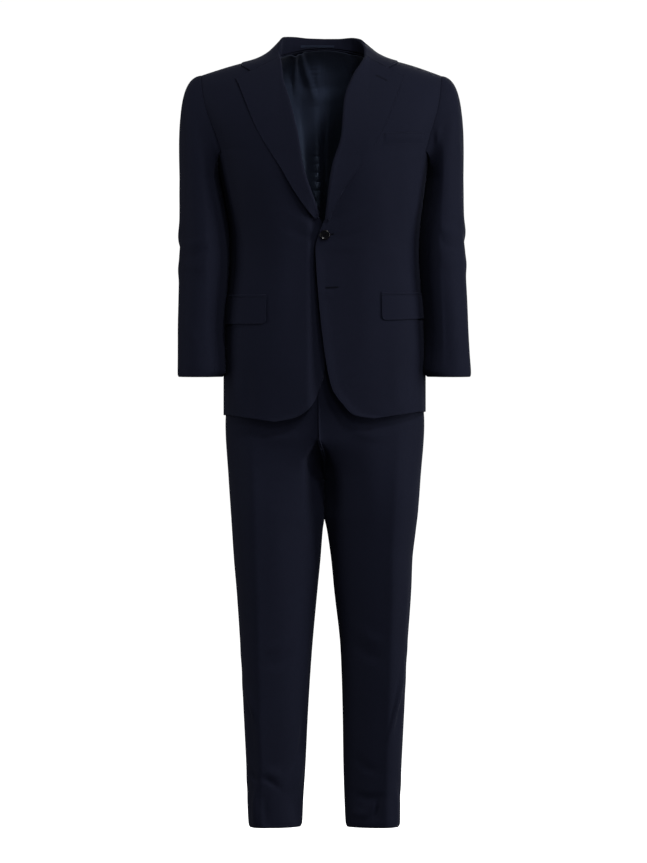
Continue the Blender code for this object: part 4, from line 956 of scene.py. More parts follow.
# Each fold, in millimetres: its height (less than 0 is a trough), its width, how far it leans
# (a share), and its path as places across and up.
FOLDS = {
    "jacket": {
        "front": (
            (3.4, 45, 0, (88, -110), (80, -190), (70, -300)),
            (-3, 28, 0, (152, -200), (147, -300), (152, -400)),
            (2.4, 30, 0, (66, -330), (82, -430), (86, -560), (80, -680)),
            (1.3, 8, 0.3, (12, -350), (40, -334), (72, -314)),
            (-1.3, 9, 0, (14, -366), (45, -360), (82, -346)),
            (0.8, 9, 0, (16, -380), (50, -384), (90, -378)),
            (2.8, 42, 0, (-108, -110), (-100, -200), (-92, -300)),
            (2.6, 30, 0, (-92, -260), (-86, -360), (-90, -480), (-100, -620)),
            (-2, 24, 0, (-142, -250), (-148, -360), (-148, -460)),
            (1.1, 8, 0.2, (-18, -352), (-46, -330), (-80, -308)),
            (-1.2, 9, 0, (-20, -368), (-52, -356), (-86, -338)),
            (1.8, 10, 0.2, (0, -474), (8, -476), (16, -473)),
            (2, 13, 0, (-188, -630), (-178, -680), (-172, -722)),
            (-1.8, 12, 0, (-160, -620), (-152, -680), (-150, -730)),
            (1.6, 7, 0.3, (199, -586), (193, -620), (190, -660)),
            (-1.6, 7, 0, (186, -600), (180, -650), (180, -700)),
            (1.4, 14, 0, (150, -610), (148, -670), (152, -720)),
        ),
        "back": (
            (3, 45, 0, (108, -50), (98, -150), (86, -270)),
            (2.6, 45, 0, (-104, -50), (-100, -150), (-80, -280)),
            (-3, 26, 0.2, (176, -150), (150, -230), (134, -330)),
            (-2.6, 24, -0.2, (-178, -160), (-154, -240), (-140, -340)),
            (2, 12, 0.3, (188, -200), (164, -262), (152, -330)),
            (1.6, 11, -0.3, (-190, -190), (-166, -250), (-150, -300)),
            (1.6, 12, 0.2, (-60, -36), (0, -44), (56, -34)),
            (-1.4, 11, 0, (-48, -62), (4, -70), (44, -60)),
            (-2, 18, 0, (-120, -372), (-50, -384), (0, -380)),
            (-1.8, 16, 0, (10, -366), (70, -376), (130, -362)),
            (1.8, 14, 0.2, (-150, -352), (-90, -360), (-40, -356)),
            (2, 28, 0, (94, -420), (104, -540), (110, -680)),
            (2.2, 28, 0, (-90, -430), (-98, -560), (-104, -690)),
            (-1.6, 16, 0, (52, -500), (56, -600), (60, -700)),
            (-1.4, 14, 0, (-46, -540), (-50, -630), (-52, -710)),
        ),
    },
    "sleeve_right": {
        "front": (
            (2.2, 20, 0, (-272, -110), (-275, -230), (-271, -330)),
            (2.2, 10, 0.3, (-222, -340), (-246, -366), (-284, -378)),
            (-2, 10, 0, (-224, -366), (-248, -392), (-280, -402)),
            (1.6, 11, -0.3, (-224, -402), (-250, -424), (-290, -420)),
            (1.8, 16, 0, (-264, -460), (-270, -550), (-262, -640)),
            (-1.6, 11, 0, (-234, -430), (-238, -530), (-240, -640)),
            (-1.8, 12, 0, (-240, -120), (-238, -190), (-236, -270)),
            (1.2, 9, 0.2, (-286, -520), (-276, -556), (-262, -578)),
        ),
        "right": (
            (2.8, 16, 0.2, (-60, -330), (-20, -362), (30, -370)),
            (-2.6, 14, 0, (-50, -362), (-10, -396), (36, -402)),
            (2.2, 14, -0.2, (-60, -410), (-20, -432), (20, -430)),
            (2.2, 22, 0, (-14, -110), (-20, -200), (-26, -300)),
            (-1.4, 14, 0, (-20, -480), (-34, -560), (-44, -630)),
        ),
        "back": (
            (3, 12, 0.3, (-286, -318), (-252, -338), (-214, -330)),
            (-2.6, 11, 0, (-284, -344), (-250, -364), (-216, -356)),
            (2.6, 12, -0.2, (-282, -374), (-250, -388), (-220, -384)),
            (-1.8, 12, 0, (-278, -402), (-248, -412), (-224, -404)),
            (1.6, 18, 0, (-252, -130), (-254, -210), (-250, -290)),
            (1.4, 14, 0, (-256, -460), (-258, -540), (-254, -620)),
        ),
    },
    "sleeve_left": {
        "front": (
            (3, 6, 0.4, (225, -128), (230, -152), (232, -182)),
            (2.2, 8, 0, (271, -150), (279, -190), (281, -236)),
            (2, 9, 0, (281, -318), (284, -350), (283, -396)),
            (2, 11, 0.3, (226, -326), (248, -350), (280, -352)),
            (-2, 10, 0, (226, -354), (250, -378), (280, -380)),
            (1.4, 12, -0.2, (230, -396), (258, -416), (288, -408)),
            (1.8, 16, 0, (264, -450), (270, -550), (272, -640)),
            (-1.4, 12, 0, (240, -440), (243, -540), (246, -640)),
            (-1.8, 12, 0.2, (252, -60), (248, -110), (244, -160)),
            (1.2, 9, 0.2, (288, -560), (274, -590), (258, -604)),
        ),
        "left": (
            (2.6, 15, 0.2, (-60, -322), (-18, -350), (34, -356)),
            (-2.4, 14, 0, (-52, -352), (-12, -384), (34, -390)),
            (2.4, 15, -0.2, (-58, -400), (-18, -420), (24, -420)),
            (2, 22, 0, (-10, -100), (-18, -190), (-22, -290)),
            (-1.4, 14, 0, (-24, -470), (-36, -560), (-46, -630)),
        ),
        "back": (
            (2.8, 12, 0.3, (276, -324), (246, -342), (212, -336)),
            (-2.6, 11, 0, (276, -350), (246, -368), (214, -360)),
            (2.2, 12, -0.2, (276, -382), (248, -396), (218, -390)),
            (1.6, 18, 0, (246, -120), (248, -210), (244, -290)),
            (1.4, 14, 0, (250, -450), (254, -540), (256, -620)),
        ),
    },
    "leg_right": {
        "front": (
            (5.4, 6, 0.4, (-170, -1262), (-160, -1296), (-146, -1342)),
            (-4, 6, 0, (-164, -1286), (-157, -1316), (-150, -1346)),
            (-3, 10, 0, (-152, -1345), (-149, -1400), (-143, -1466)),
            (-3, 5, 0, (-150, -1452), (-145, -1464), (-138, -1472)),
            (-4, 10, 0.2, (-40, -1320), (-44, -1394), (-66, -1462)),
            (3.6, 10, 0, (-46, -1416), (-50, -1450), (-62, -1492)),
            (-2.6, 6, 0.2, (-128, -1464), (-110, -1474), (-88, -1490)),
            (1.8, 12, 0, (-126, -1448), (-104, -1456), (-82, -1468)),
            (3.4, 5.5, 0, (-140, -1484), (-142, -1526), (-142, -1566)),
            (-2.6, 10, 0, (-124, -1492), (-122, -1530), (-120, -1566)),
            (-2.4, 10, 0, (-60, -1508), (-56, -1536), (-54, -1566)),
            (1.6, 18, 0, (-86, -1496), (-88, -1530), (-90, -1566)),
            (2, 30, 0, (-104, -860), (-98, -1000), (-94, -1180)),
            (-1.6, 14, 0, (-186, -770), (-172, -850), (-166, -930)),
            (1.6, 12, 0.2, (-52, -762), (-84, -772), (-118, -770)),
            (1.4, 12, 0, (-68, -1170), (-92, -1196), (-124, -1204)),
            (-1.4, 12, 0, (-62, -1204), (-88, -1230), (-118, -1236)),
        ),
        "right": (
            (1.2, 14, 0.2, (-50, -1190), (-10, -1214), (40, -1204)),
            (-1, 14, 0, (-50, -1220), (-10, -1246), (40, -1238)),
            (1, 14, -0.2, (-50, -1258), (-10, -1276), (36, -1270)),
            (1.4, 14, 0.3, (-44, -1440), (-6, -1470), (34, -1480)),
            (-1.2, 12, 0, (-46, -1466), (-10, -1494), (30, -1504)),
            (2, 30, 0, (0, -800), (-8, -940), (-6, -1100)),
        ),
        "back": (
            (4, 14, 0.3, (-30, -905), (-70, -928), (-120, -926)),
            (-3.4, 13, 0, (-30, -936), (-70, -960), (-116, -960)),
            (2.4, 14, -0.2, (-44, -976), (-80, -992), (-118, -988)),
            (3.4, 12, 0.2, (-40, -1196), (-86, -1216), (-134, -1204)),
            (-3, 11, 0, (-44, -1224), (-86, -1244), (-130, -1234)),
            (2.6, 12, -0.2, (-46, -1256), (-84, -1270), (-126, -1262)),
            (2.6, 12, 0.2, (-60, -1470), (-96, -1486), (-132, -1478)),
            (-2.6, 11, 0, (-62, -1498), (-96, -1514), (-130, -1508)),
            (2.2, 30, 0, (-110, -700), (-116, -790), (-104, -880)),
        ),
    },
    "leg_left": {
        "front": (
            (5.8, 6, 0.5, (170, -1190), (156, -1276), (133, -1384)),
            (3, 9, 0, (172, -1060), (170, -1140), (165, -1215)),
            (-3, 8, 0, (160, -1290), (154, -1330), (144, -1380)),
            (-2.6, 10, 0, (62, -1498), (90, -1508), (124, -1502)),
            (3.2, 11, 0, (58, -1530), (74, -1540), (94, -1536)),
            (-3.8, 6, 0.2, (110, -1508), (107, -1528), (101, -1548)),
            (2.8, 5, 0, (148, -1490), (150, -1530), (152, -1566)),
            (1.6, 9, 0, (52, -1556), (90, -1560), (130, -1556)),
            (2, 28, 0, (88, -740), (96, -850), (102, -980)),
            (1.4, 12, 0, (66, -1150), (94, -1180), (122, -1186)),
            (-1.6, 12, 0, (60, -1186), (90, -1214), (120, -1222)),
            (-1.6, 10, 0.2, (60, -1420), (86, -1446), (112, -1452)),
            (1.6, 12, 0.2, (50, -752), (90, -766), (130, -764)),
        ),
        "left": (
            (1.2, 14, 0.2, (-50, -1180), (-10, -1206), (40, -1200)),
            (-1, 14, 0, (-50, -1212), (-10, -1236), (40, -1230)),
            (1, 14, -0.2, (-46, -1250), (-10, -1268), (36, -1262)),
            (1.4, 14, 0.3, (-44, -1452), (-6, -1480), (34, -1488)),
            (-1.2, 12, 0, (-46, -1478), (-10, -1506), (30, -1514)),
            (2, 30, 0, (4, -820), (-4, -950), (-2, -1110)),
        ),
        "back": (
            (3.8, 14, 0.3, (32, -912), (74, -934), (122, -930)),
            (-3.2, 13, 0, (32, -944), (72, -966), (118, -964)),
            (3.4, 12, 0.2, (44, -1188), (88, -1210), (132, -1200)),
            (-3, 11, 0, (46, -1218), (88, -1238), (130, -1230)),
            (2.4, 12, -0.2, (50, -1250), (88, -1264), (124, -1258)),
            (2.4, 12, 0.2, (62, -1478), (98, -1494), (130, -1486)),
            (-2.4, 11, 0, (64, -1506), (98, -1522), (128, -1516)),
            (2.2, 30, 0, (108, -700), (112, -790), (100, -880)),
        ),
    },
}

# The lining's own folds, as seen through the neck, in the same columns.
LINING_FOLDS = (
    (15, 17, 0, (-86, -30), (-76, -90), (-64, -170), (-56, -270)),
    (11, 5.4, 0.2, (-62.5, 50), (-61, -4), (-59.5, -70)),
    (9, 7, -0.3, (-56, 44), (-38, -12), (-19, -70)),
    (3.4, 2.4, 0, (-14, 6), (-13.7, -28), (-13.7, -62)),
    (14, 21, -0.4, (-20, 0), (-18.5, -80), (-17.8, -180), (-18, -345)),
    (6, 36, 0, (58, 40), (52, -50), (38, -150), (20, -280)),
    (6.4, 8, 0, (52, 22), (58, 0), (60, -20)),
    (3.6, 3, 0, (55, -2), (59, -20), (65, -48)),
)


def facing(normals, axis, direction):
    """How much each point faces a way, with a soft change."""
    return smooth_step(direction * normals[..., axis], *VIEW_FACING)


def with_folds(grid, normals, garment, fade=1.0):
    """The grid with its garment's folds, each in the view it belongs to, and a slow swell."""
    part = garment.split("_")[0]
    strength = FOLD_STRENGTH[part]
    out = waviness(grid, *SWELL[part])
    for view, folds in FOLDS[garment].items():
        axis, direction, across = VIEWS[view]
        weight = facing(normals, axis, direction)
        if weight.any():
            out = out + strength * weight * fold_height(grid[..., across], grid[..., 2], folds)
    return grid + (fade * out)[..., None] * normals


# The jacket's panels.


def spread(count):
    """Shares across a panel, closer together towards its outer end."""
    turn = np.radians(SPREAD_TURN)
    return np.sin(turn * np.linspace(0.0, 1.0, count)) / np.sin(turn)


def rises(count):
    """Shares of the way up the yoke, closest together at the shoulder."""
    return np.sin(np.radians(np.linspace(0.0, 90.0, count + 1)))[1:, None]


def edge_table(side):
    rows = list(FRONT_ROWS[side])
    rows += [(level, float(ROLL[side](level)), level) for level in UPPER_LEVELS]
    return curves(FRONT_COLUMNS, numbered(rows)), len(rows) - 1


def front_places(side, across, down, up):
    """X and height of a front panel's points, from its hem to its shoulder."""
    table, last = edge_table(side)
    row = np.linspace(0.0, last, down)[:, None]
    level, edge_x, edge_z = table["side_level"](row), table["edge_x"](row), table["edge_height"](row)
    share = spread(across)
    outer = sign(side) * seam_x(side, "front", level)
    x = edge_x + (outer - edge_x) * share
    height = edge_z + (level - edge_z) * share
    rise = rises(up)
    inner = ROLL[side](CHEST_LINE + rise * (NECK_HEIGHT - CHEST_LINE))
    top = CHEST_LINE + rise * (SHOULDER_POINT[side][1] - CHEST_LINE)
    upper_x = inner + (sign(side) * seam_x(side, "front", top) - inner) * share
    upper = CHEST_LINE + rise * (shoulder_height(side, upper_x) - CHEST_LINE)
    return np.concatenate([x, upper_x]), np.concatenate([height, upper])


def add_front(side):
    x, height = front_places(side, FRONT_COLUMN_COUNT, FRONT_DOWN, YOKE_ROWS)
    grid = body_face(side, "front", x, height)
    normals = grid_normals(grid, (0.0, 0.0))
    fade = yoke_fade(height, spread(FRONT_COLUMN_COUNT)) * flank_fade(normals)
    grid = with_folds(grid, normals, "jacket", fade)
    start, full = EDGE_LIFT_LEVELS[side]
    lift = EDGE_LIFT[side] * np.exp(-(((x - x[:, :1]) / EDGE_LIFT_REACH) ** 2))
    grid = grid + (lift * smooth_step(-height, -start, -full))[..., None] * normals
    add_shell(f"jacket_front_{side}", grid, normals, CLOTH)


def yoke_fade(height, share):
    """How much of the folds a panel keeps: they die out towards the armhole's seam."""
    above = smooth_step(height, CHEST_LINE - YOKE_FADE, CHEST_LINE)
    return 1 - above * smooth_step(share, *ARMHOLE_FADE)


def flank_fade(normals):
    """How much of the folds the body keeps: none on its flanks, where the sleeves lie against it."""
    return 1 - smooth_step(np.abs(normals[..., 0]), *FLANK_FACING)


def leg_fade(normals):
    """How much of the folds a leg keeps: fewer on its sides, so that its outline runs smoothly."""
    return 1 - LEG_SIDE_LOSS * smooth_step(np.abs(normals[..., 0]), *LEG_SIDE_FACING)


def scoop_shares():
    """Shares across the side body, closest together at its two seams."""
    return (1 - np.cos(np.linspace(0.0, np.pi, SIDE_ACROSS))) / 2


def scoop(share):
    """How far the armhole drops below the chest line, across the side body."""
    return ARMHOLE_DROP * np.sin(np.pi * share) ** SCOOP_FULLNESS


def add_side(side):
    table, last = edge_table(side)
    level = table["side_level"](np.linspace(0.0, last, SIDE_DOWN))[:, None]
    share = scoop_shares()
    turn = SIDE_SEAMS["front"] + share * (SIDE_SEAMS["back"] - SIDE_SEAMS["front"]) + 0.0 * level
    low = UPPER_LEVELS[1]
    drop = scoop(share) * np.clip((level - low) / (CHEST_LINE - low), 0.0, 1.0)
    grid = body_ring(side, turn, level - drop)
    normals = grid_normals(grid, (0.0, 0.0))
    fade = flank_fade(normals) * (1 - smooth_step(level, CHEST_LINE - SIDE_FADE, CHEST_LINE))
    grid = with_folds(grid, normals, "jacket", fade)
    add_shell(f"jacket_side_{side}", grid, normals, CLOTH)


def back_neck_height(x):
    """The height of the back neckline over a place."""
    share = np.clip(np.abs(x) / NECK_HALF, 0.0, 1.0)
    return NECK_HEIGHT + BACK_NECK_RISE * (1 - share**2)


def back_places(side, across, levels, up):
    """X and height of a back panel's points, from its lowest level to its top."""
    share = spread(across)
    x = sign(side) * seam_x(side, "back", levels) * share
    dip = HEM_DIP * (1 - share**2) * (1 - smooth_step(levels, levels[0], levels[0] + HEM_DIP_REACH))
    height = levels - dip
    rise = rises(up)
    outer, top = SHOULDER_POINT[side]
    reach = seam_x(side, "back", CHEST_LINE + rise * (top - CHEST_LINE))
    final = sign(side) * outer * share
    upper_x = sign(side) * reach * share
    limit = np.where(np.abs(final) < NECK_HALF, back_neck_height(final), shoulder_height(side, upper_x))
    upper = CHEST_LINE + rise * (limit - CHEST_LINE)
    return np.concatenate([x, upper_x]), np.concatenate([height, upper])


def back_grid(side, across, low, down, up):
    levels = np.linspace(low, CHEST_LINE, down)[:, None]
    x, height = back_places(side, across, levels, up)
    return body_face(side, "back", x, height), height


def folded_back(side, across, low, down, up):
    """A back panel's outer face with its folds, and the unfolded face's normals."""
    grid, height = back_grid(side, across, low, down, up)
    normals = grid_normals(grid, (0.0, 0.0))
    fade = yoke_fade(height, spread(across)) * flank_fade(normals)
    return with_folds(grid, normals, "jacket", fade), normals


def add_back(side):
    hem = FRONT_ROWS[side][0][0]
    grid, normals = folded_back(side, FRONT_COLUMN_COUNT, hem, BACK_DOWN, YOKE_ROWS)
    add_shell(f"jacket_back_{side}", grid, normals, CLOTH)


def lapel_places(side, row, share):
    """X, height and lift of a lapel's points: share is 0 at its fold and 1 at its edge."""
    table = LAPEL[side]
    roll_z = table["roll_height"](row)
    roll_x = ROLL[side](roll_z)
    x = roll_x + (table["edge_x"](row) - roll_x) * share
    height = roll_z + (table["edge_height"](row) - roll_z) * share
    edge, roll = table["edge_lift"](row), table["roll_lift"](row)
    return x, height, edge + (roll - edge) * (1 - share) ** 2 + CLOTH


def lapel_grid(side):
    """The turned-back lapel's outer face, with the rolled fold that joins it to the front."""
    row = np.linspace(0.0, len(LAPEL_ROWS[side]) - 1, LAPEL_DOWN)[:, None]
    share = np.linspace(0.0, 1.0, LAPEL_ACROSS)[None, :]
    x, height, lift = lapel_places(side, row, share)
    normal = face_normal(side, "front", x, height)
    flat = body_face(side, "front", x, height) + lift[..., None] * normal
    base = flat[:, :1] - lift[:, :1, None] * normal[:, :1]
    out = normal[:, :1]
    inward = -unit(flat[:, 1:2] - flat[:, :1])
    inward = unit(inward - np.sum(inward * out, axis=-1, keepdims=True) * out)
    radius = lift[:, :1, None] / 2
    turn = np.radians(np.linspace(*LAPEL_ROLL, TURN_POINTS))[None, :, None]
    roll = base + radius * out + radius * (np.sin(turn) * out + np.cos(turn) * inward)
    grid = np.concatenate([roll, flat[:, 1:]], axis=1)
    normals = cross_normals(grid)
    return grid, normals * np.sign(np.mean(-normals[:, LAPEL_FLAT_FROM:, 1]))


def add_lapel(side):
    grid, normals = lapel_grid(side)
    add_shell(f"lapel_{side}", grid, normals, CLOTH, dip=0.0)


def collar_section(seam, fold, edge, sag):
    """The middle line of the collar's section: up its stand, over its fold and down its fall."""
    up = unit(fold - seam)
    out = edge - fold
    out = unit(out - up * np.dot(out, up))
    centre = fold - up * FOLD_RADIUS + out * FOLD_RADIUS
    stand_top = fold - up * FOLD_RADIUS
    line = [seam + share * (stand_top - seam) for share in np.linspace(0.0, STAND_SHARE, STAND_POINTS)]
    for angle in np.radians(np.linspace(*FOLD_TURN, TURN_POINTS)):
        line.append(centre + FOLD_RADIUS * (np.cos(angle) * out + np.sin(angle) * up))
    start = line[-1]
    for share in np.linspace(0.0, 1.0, FALL_POINTS + 1)[1:]:
        line.append(start + (edge - start) * share - sag * np.sin(np.pi * share) * up)
    line = np.array(line)
    along = np.gradient(line, axis=0)
    flat = np.stack([along @ out, along @ up], axis=-1)
    normal = -flat[:, 1:] * out + flat[:, :1] * up
    return line, unit(normal)


def collar_station(side, along):
    """Seam, fold and edge points of the collar and its fall's sag."""
    table = COLLAR[side]
    x = sign(side) * table["seam_x"](along)
    face = "back" if along < SEAM_CHANGE else "front"
    forward = (along - SEAM_CHANGE) / (COLLAR_LAST - SEAM_CHANGE)
    height = back_neck_height(x) if face == "back" else NECK_HEIGHT - FRONT_SEAM_DROP * forward
    seam = body_face(side, face, x, height) + COLLAR_SEAM_LIFT * face_normal(side, face, x, height)
    fold = np.array([sign(side) * table["fold_x"](along), table["fold_y"](along), table["fold_z"](along)])
    x, depth = sign(side) * table["edge_x"](along), table["edge_y"](along)
    face = "back" if depth > SHOULDER_DEPTH else "front"
    height = body_height(side, face, x, depth)
    lift = COLLAR_EDGE_LIFT[side] + NOTCH_LIFT * smooth_step(along, *NOTCH_FROM)
    edge = body_face(side, face, x, height) + lift * face_normal(side, face, x, height)
    return seam, fold, edge, FALL_SAG[side] * smooth_step(along, *SAG_BETWEEN)


def gorge_pull(side, last):
    """How far the collar's last section is from the lapel's top edge, where the two are sewn."""
    lapel, _ = lapel_grid(side)
    top = lapel[0] + SEAM_GAP * unit(lapel[0] - lapel[1])
    roll_height, tip_x = LAPEL_ROWS[side][0][:2]
    roll_x = abs(float(ROLL[side](roll_height)))
    reach = (float(COLLAR[side]["edge_x"](COLLAR_LAST)) - roll_x) / (abs(tip_x) - roll_x)
    flat = top[TURN_POINTS - 1:]
    wanted = np.linspace(0.0, reach, FALL_POINTS + 1)[1:] * (len(flat) - 1)
    fall = np.stack([np.interp(wanted, np.arange(len(flat)), flat[:, k]) for k in range(3)], axis=-1)
    share = np.linspace(0.0, 1.0, STAND_POINTS)[:, None]
    stand = last[:STAND_POINTS] + share * (top[0] - last[STAND_POINTS])
    return np.concatenate([stand, top[:TURN_POINTS], fall]) - last


def collar_half(side, places):
    """The collar's outer face on one side, drawn to the lapel where its front end is sewn to it."""
    sections = [collar_section(*collar_station(side, along)) for along in places]
    outer = np.array([line + CLOTH / 2 * normal for line, normal in sections])
    share = smooth_step(places, GORGE_FROM, COLLAR_LAST)[:, None, None]
    return outer + share * gorge_pull(side, outer[-1])


def add_collar():
    places = np.linspace(0.0, COLLAR_LAST, COLLAR_ACROSS)
    right, left = collar_half("right", places), collar_half("left", places)
    grid = np.concatenate([right[::-1], left[1:]])
    normals = cross_normals(grid)
    normals *= np.sign(np.mean(normals[:, -FALL_POINTS:, 2]))
    add_shell("collar", grid, normals, CLOTH, dip=0.0)


# Sleeves.


def armhole(side, angle):
    """A point of the armhole: angle is 0 at the shoulder, 90 in front, 180 under the arm."""
    top = SHOULDER_POINT[side][1]
    if FRONT_ARC < angle < BACK_ARC:
        share = (angle - FRONT_ARC) / (BACK_ARC - FRONT_ARC)
        turn = SIDE_SEAMS["front"] + share * (SIDE_SEAMS["back"] - SIDE_SEAMS["front"])
        return body_ring(side, turn, CHEST_LINE - scoop(share))
    if angle <= FRONT_ARC:
        face, share = "front", angle / FRONT_ARC
    else:
        face, share = "back", (360.0 - angle) / (360.0 - BACK_ARC)
    rise = np.cos(np.radians(90.0 * share))
    level = CHEST_LINE + rise * (top - CHEST_LINE)
    x = sign(side) * seam_x(side, face, level)
    height = CHEST_LINE + rise * (shoulder_height(side, x) - CHEST_LINE)
    return body_face(side, face, x, height)


def sleeve_ring(side, angle, height):
    """A point of the sleeve below its head."""
    table = SLEEVE[side]
    outer, inner = table["outer"](height), table["inner"](height)
    tucked = np.minimum(inner, BODY[side](height) - SLEEVE_BEHIND)
    inner = tucked + (inner - tucked) * smooth_step(-height, -SLEEVE_FREE[0], -SLEEVE_FREE[1])
    turn = np.radians(angle)
    power = 2.0 / SLEEVE_SQUARE
    across = np.sign(np.cos(turn)) * np.abs(np.cos(turn)) ** power
    along = np.sign(np.sin(turn)) * np.abs(np.sin(turn)) ** power
    x = (outer + inner) / 2 + across * (outer - inner) / 2
    depth = table["half_depth"](height)
    y = table["middle"](height) - along * depth
    inside = np.clip(-across, 0.0, 1.0)
    slope = SLEEVE_SLOPE * (1 - SLEEVE_CUFF_LOSS * smooth_step(-height, -SLEEVE_CUFF[0], -SLEEVE_CUFF[1]))
    y = y + slope * depth * inside**SLEEVE_TURN
    least = body_side(side, y, height) + SLEEVE_CLEAR
    x = (x + least + np.sqrt((x - least) ** 2 + SLEEVE_SOFTNESS**2)) / 2
    return points(sign(side) * x, y, height)


def sleeve_grid(side, angles, cap_rows, arm_rows):
    """The sleeve's points: its head from the armhole to the biceps, then down to the cuff."""
    start = np.array([armhole(side, angle % 360.0) for angle in angles])
    end = sleeve_ring(side, angles, BICEPS)
    length = np.linalg.norm(end - start, axis=-1, keepdims=True)
    under = ((1 - np.cos(np.radians(angles))) / 2)[:, None] ** UNDERARM_POWER
    outward = np.array([sign(side), 0.0, -SLEEVE_AXIS_DROP])
    leave = CAP_START * length * ((1 - under) * outward + under * np.array([0.0, 0.0, -1.0]))
    arrive = CAP_END * length * np.array([0.0, 0.0, -1.0])
    t = np.linspace(0.0, 1.0, cap_rows)[:, None, None] ** CAP_SPACING
    cap = (1 + 2 * t) * (1 - t) ** 2 * start + t * t * (3 - 2 * t) * end
    cap = cap + t * (1 - t) ** 2 * leave + t * t * (t - 1) * arrive
    heights = np.linspace(BICEPS, CUFF, arm_rows)[1:, None]
    arm = sleeve_ring(side, angles[None, :] + 0.0 * heights, heights + 0.0 * angles[None, :])
    return np.concatenate([cap, arm])


def sleeve_angles(name):
    """Angles round the armhole of a sleeve piece's columns, which meet the panels' own points."""
    step = (360.0 - BACK_ARC) / YOKE_ROWS
    if name == "top_sleeve":
        behind = np.arange(BACK_SEAM_ANGLE - 360.0, -step / 2, step)
        return np.concatenate([behind, np.linspace(0.0, FRONT_ARC, YOKE_ROWS + 1)])
    under = FRONT_ARC + (BACK_ARC - FRONT_ARC) * scoop_shares()
    return np.concatenate([under, np.arange(BACK_ARC + step, BACK_SEAM_ANGLE + step / 2, step)])


def add_sleeve(name, side):
    grid = sleeve_grid(side, sleeve_angles(name), CAP_ROWS, ARM_ROWS)
    normals = cross_normals(grid)
    centre = np.mean(grid, axis=1, keepdims=True)
    inside = -1.0 if name == "top_sleeve" else 1.0
    centre[..., 0] += inside * sign(side) * SLEEVE_CENTRE_SHIFT
    normals *= np.sign(np.mean(np.sum(normals * (grid - centre), axis=-1)))
    inward = 1 - smooth_step(-sign(side) * normals[..., 0], *SLEEVE_INSIDE)
    fade = inward * smooth_step(np.arange(len(grid)), 0.0, CAP_ROWS / 2)[:, None]
    grid = with_folds(grid, normals, f"sleeve_{side}", fade)
    add_shell(f"{name}_{side}", grid, normals, CLOTH)


# What lies on the jacket.


def turn_at(side, x, height):
    """The turn round the body at which its front is this far out."""
    share = np.abs(x) / BODY[side](height)
    return np.degrees(np.arcsin(share ** (BODY["square"](height) / 2)))


def add_on_body(node, side, turn, height, off, thickness):
    """A wall that follows the body's surface and its folds, off it by a small gap."""
    grid = body_ring(side, turn, height)
    normals = grid_normals(grid, (0.0, 0.0))
    grid = with_folds(grid, normals, "jacket", flank_fade(normals))
    lift = np.broadcast_to(off + thickness, height.shape)[..., None]
    add_shell(node, grid + lift * normals, normals, thickness, dip=0.0)


def add_pocket(side):
    """A flap with a rounded front corner, and the jetting along its top."""
    flap = FLAPS[side]
    start = turn_at(side, flap["start"], flap["top"])
    near = FLAP_NEAR * np.linspace(0.0, 1.0, FLAP_NEAR_COLUMNS) ** 2
    distance = np.concatenate([near, np.linspace(FLAP_FAR_FROM, FLAP_RUN, FLAP_FAR_COLUMNS)])
    share = distance / FLAP_RUN
    turn = start + (flap["turn"] - start) * share
    bite = np.clip(1 - distance / FLAP_CORNER, 0.0, 1.0)
    rounding = FLAP_CORNER * (1 - np.sqrt(1 - bite**2))
    bottom = flap["bottom"] + flap["rise"] * share + rounding
    down = np.linspace(0.0, 1.0, FLAP_ROWS)[:, None]
    height = flap["top"] + (bottom - flap["top"]) * down
    turns = np.broadcast_to(turn, height.shape)
    off = FLAP_OFF + FLAP_STAND * down**2
    add_on_body(f"flap_{side}", side, turns, height, off, FLAP_CLOTH)
    jet_top = flap["top"] + SEAM_GAP + JET_HEIGHT
    down = np.linspace(0.0, 1.0, JET_ROWS)[:, None]
    height = jet_top - JET_HEIGHT * down + 0.0 * turn
    turns = np.broadcast_to(turn, height.shape)
    off = JET_OFF + JET_ROUND * np.sin(np.pi * down)
    add_on_body(f"jet_{side}", side, turns, height, off, LINING_CLOTH)


def add_breast_welt():
    """The welt of the left chest pocket, rising a little towards the arm."""
    share = np.linspace(0.0, 1.0, WELT_COLUMNS)
    x = WELT_FROM[0] + (WELT_TO[0] - WELT_FROM[0]) * share
    low = WELT_FROM[1] + (WELT_TO[1] - WELT_FROM[1]) * share
    down = np.linspace(1.0, 0.0, WELT_ROWS)[:, None]
    height = low + WELT_HEIGHT * down
    x = np.broadcast_to(x, height.shape)
    normals = face_normal("left", "front", x, height)
    sides = np.minimum(share, 1 - share) * (WELT_TO[0] - WELT_FROM[0])
    sunk = np.maximum(1 - smooth_step(down, 0.0, WELT_TOP), 1 - smooth_step(sides, 0.0, WELT_SIDE))
    lift = WELT_OFF + LINING_CLOTH - WELT_SINK * sunk
    grid = with_folds(body_face("left", "front", x, height), normals, "jacket")
    grid = grid + lift[..., None] * normals
    add_shell("breast_welt", grid, normals, LINING_CLOTH, dip=0.0)


# Inside the jacket.


def add_lining(side):
    """Half of the satin lining of the upper back, which shows in the neck opening.

    It follows the back panel's own folds, so that the two never meet.
    """
    grid, normals = folded_back(side, LINING_ACROSS, LINING_LOW, LINING_DOWN, LINING_UP)
    grid = grid - (CLOTH + LINING_OFF) * normals
    out = fold_height(grid[..., 0], grid[..., 2], LINING_FOLDS)
    grid = grid - np.maximum(out, -LINING_SINK)[..., None] * normals
    normals = grid_normals(grid, LINING_MIDDLE)
    add_shell(f"lining_{side}", grid, normals, LINING_CLOTH, "satin", dip=0.0)


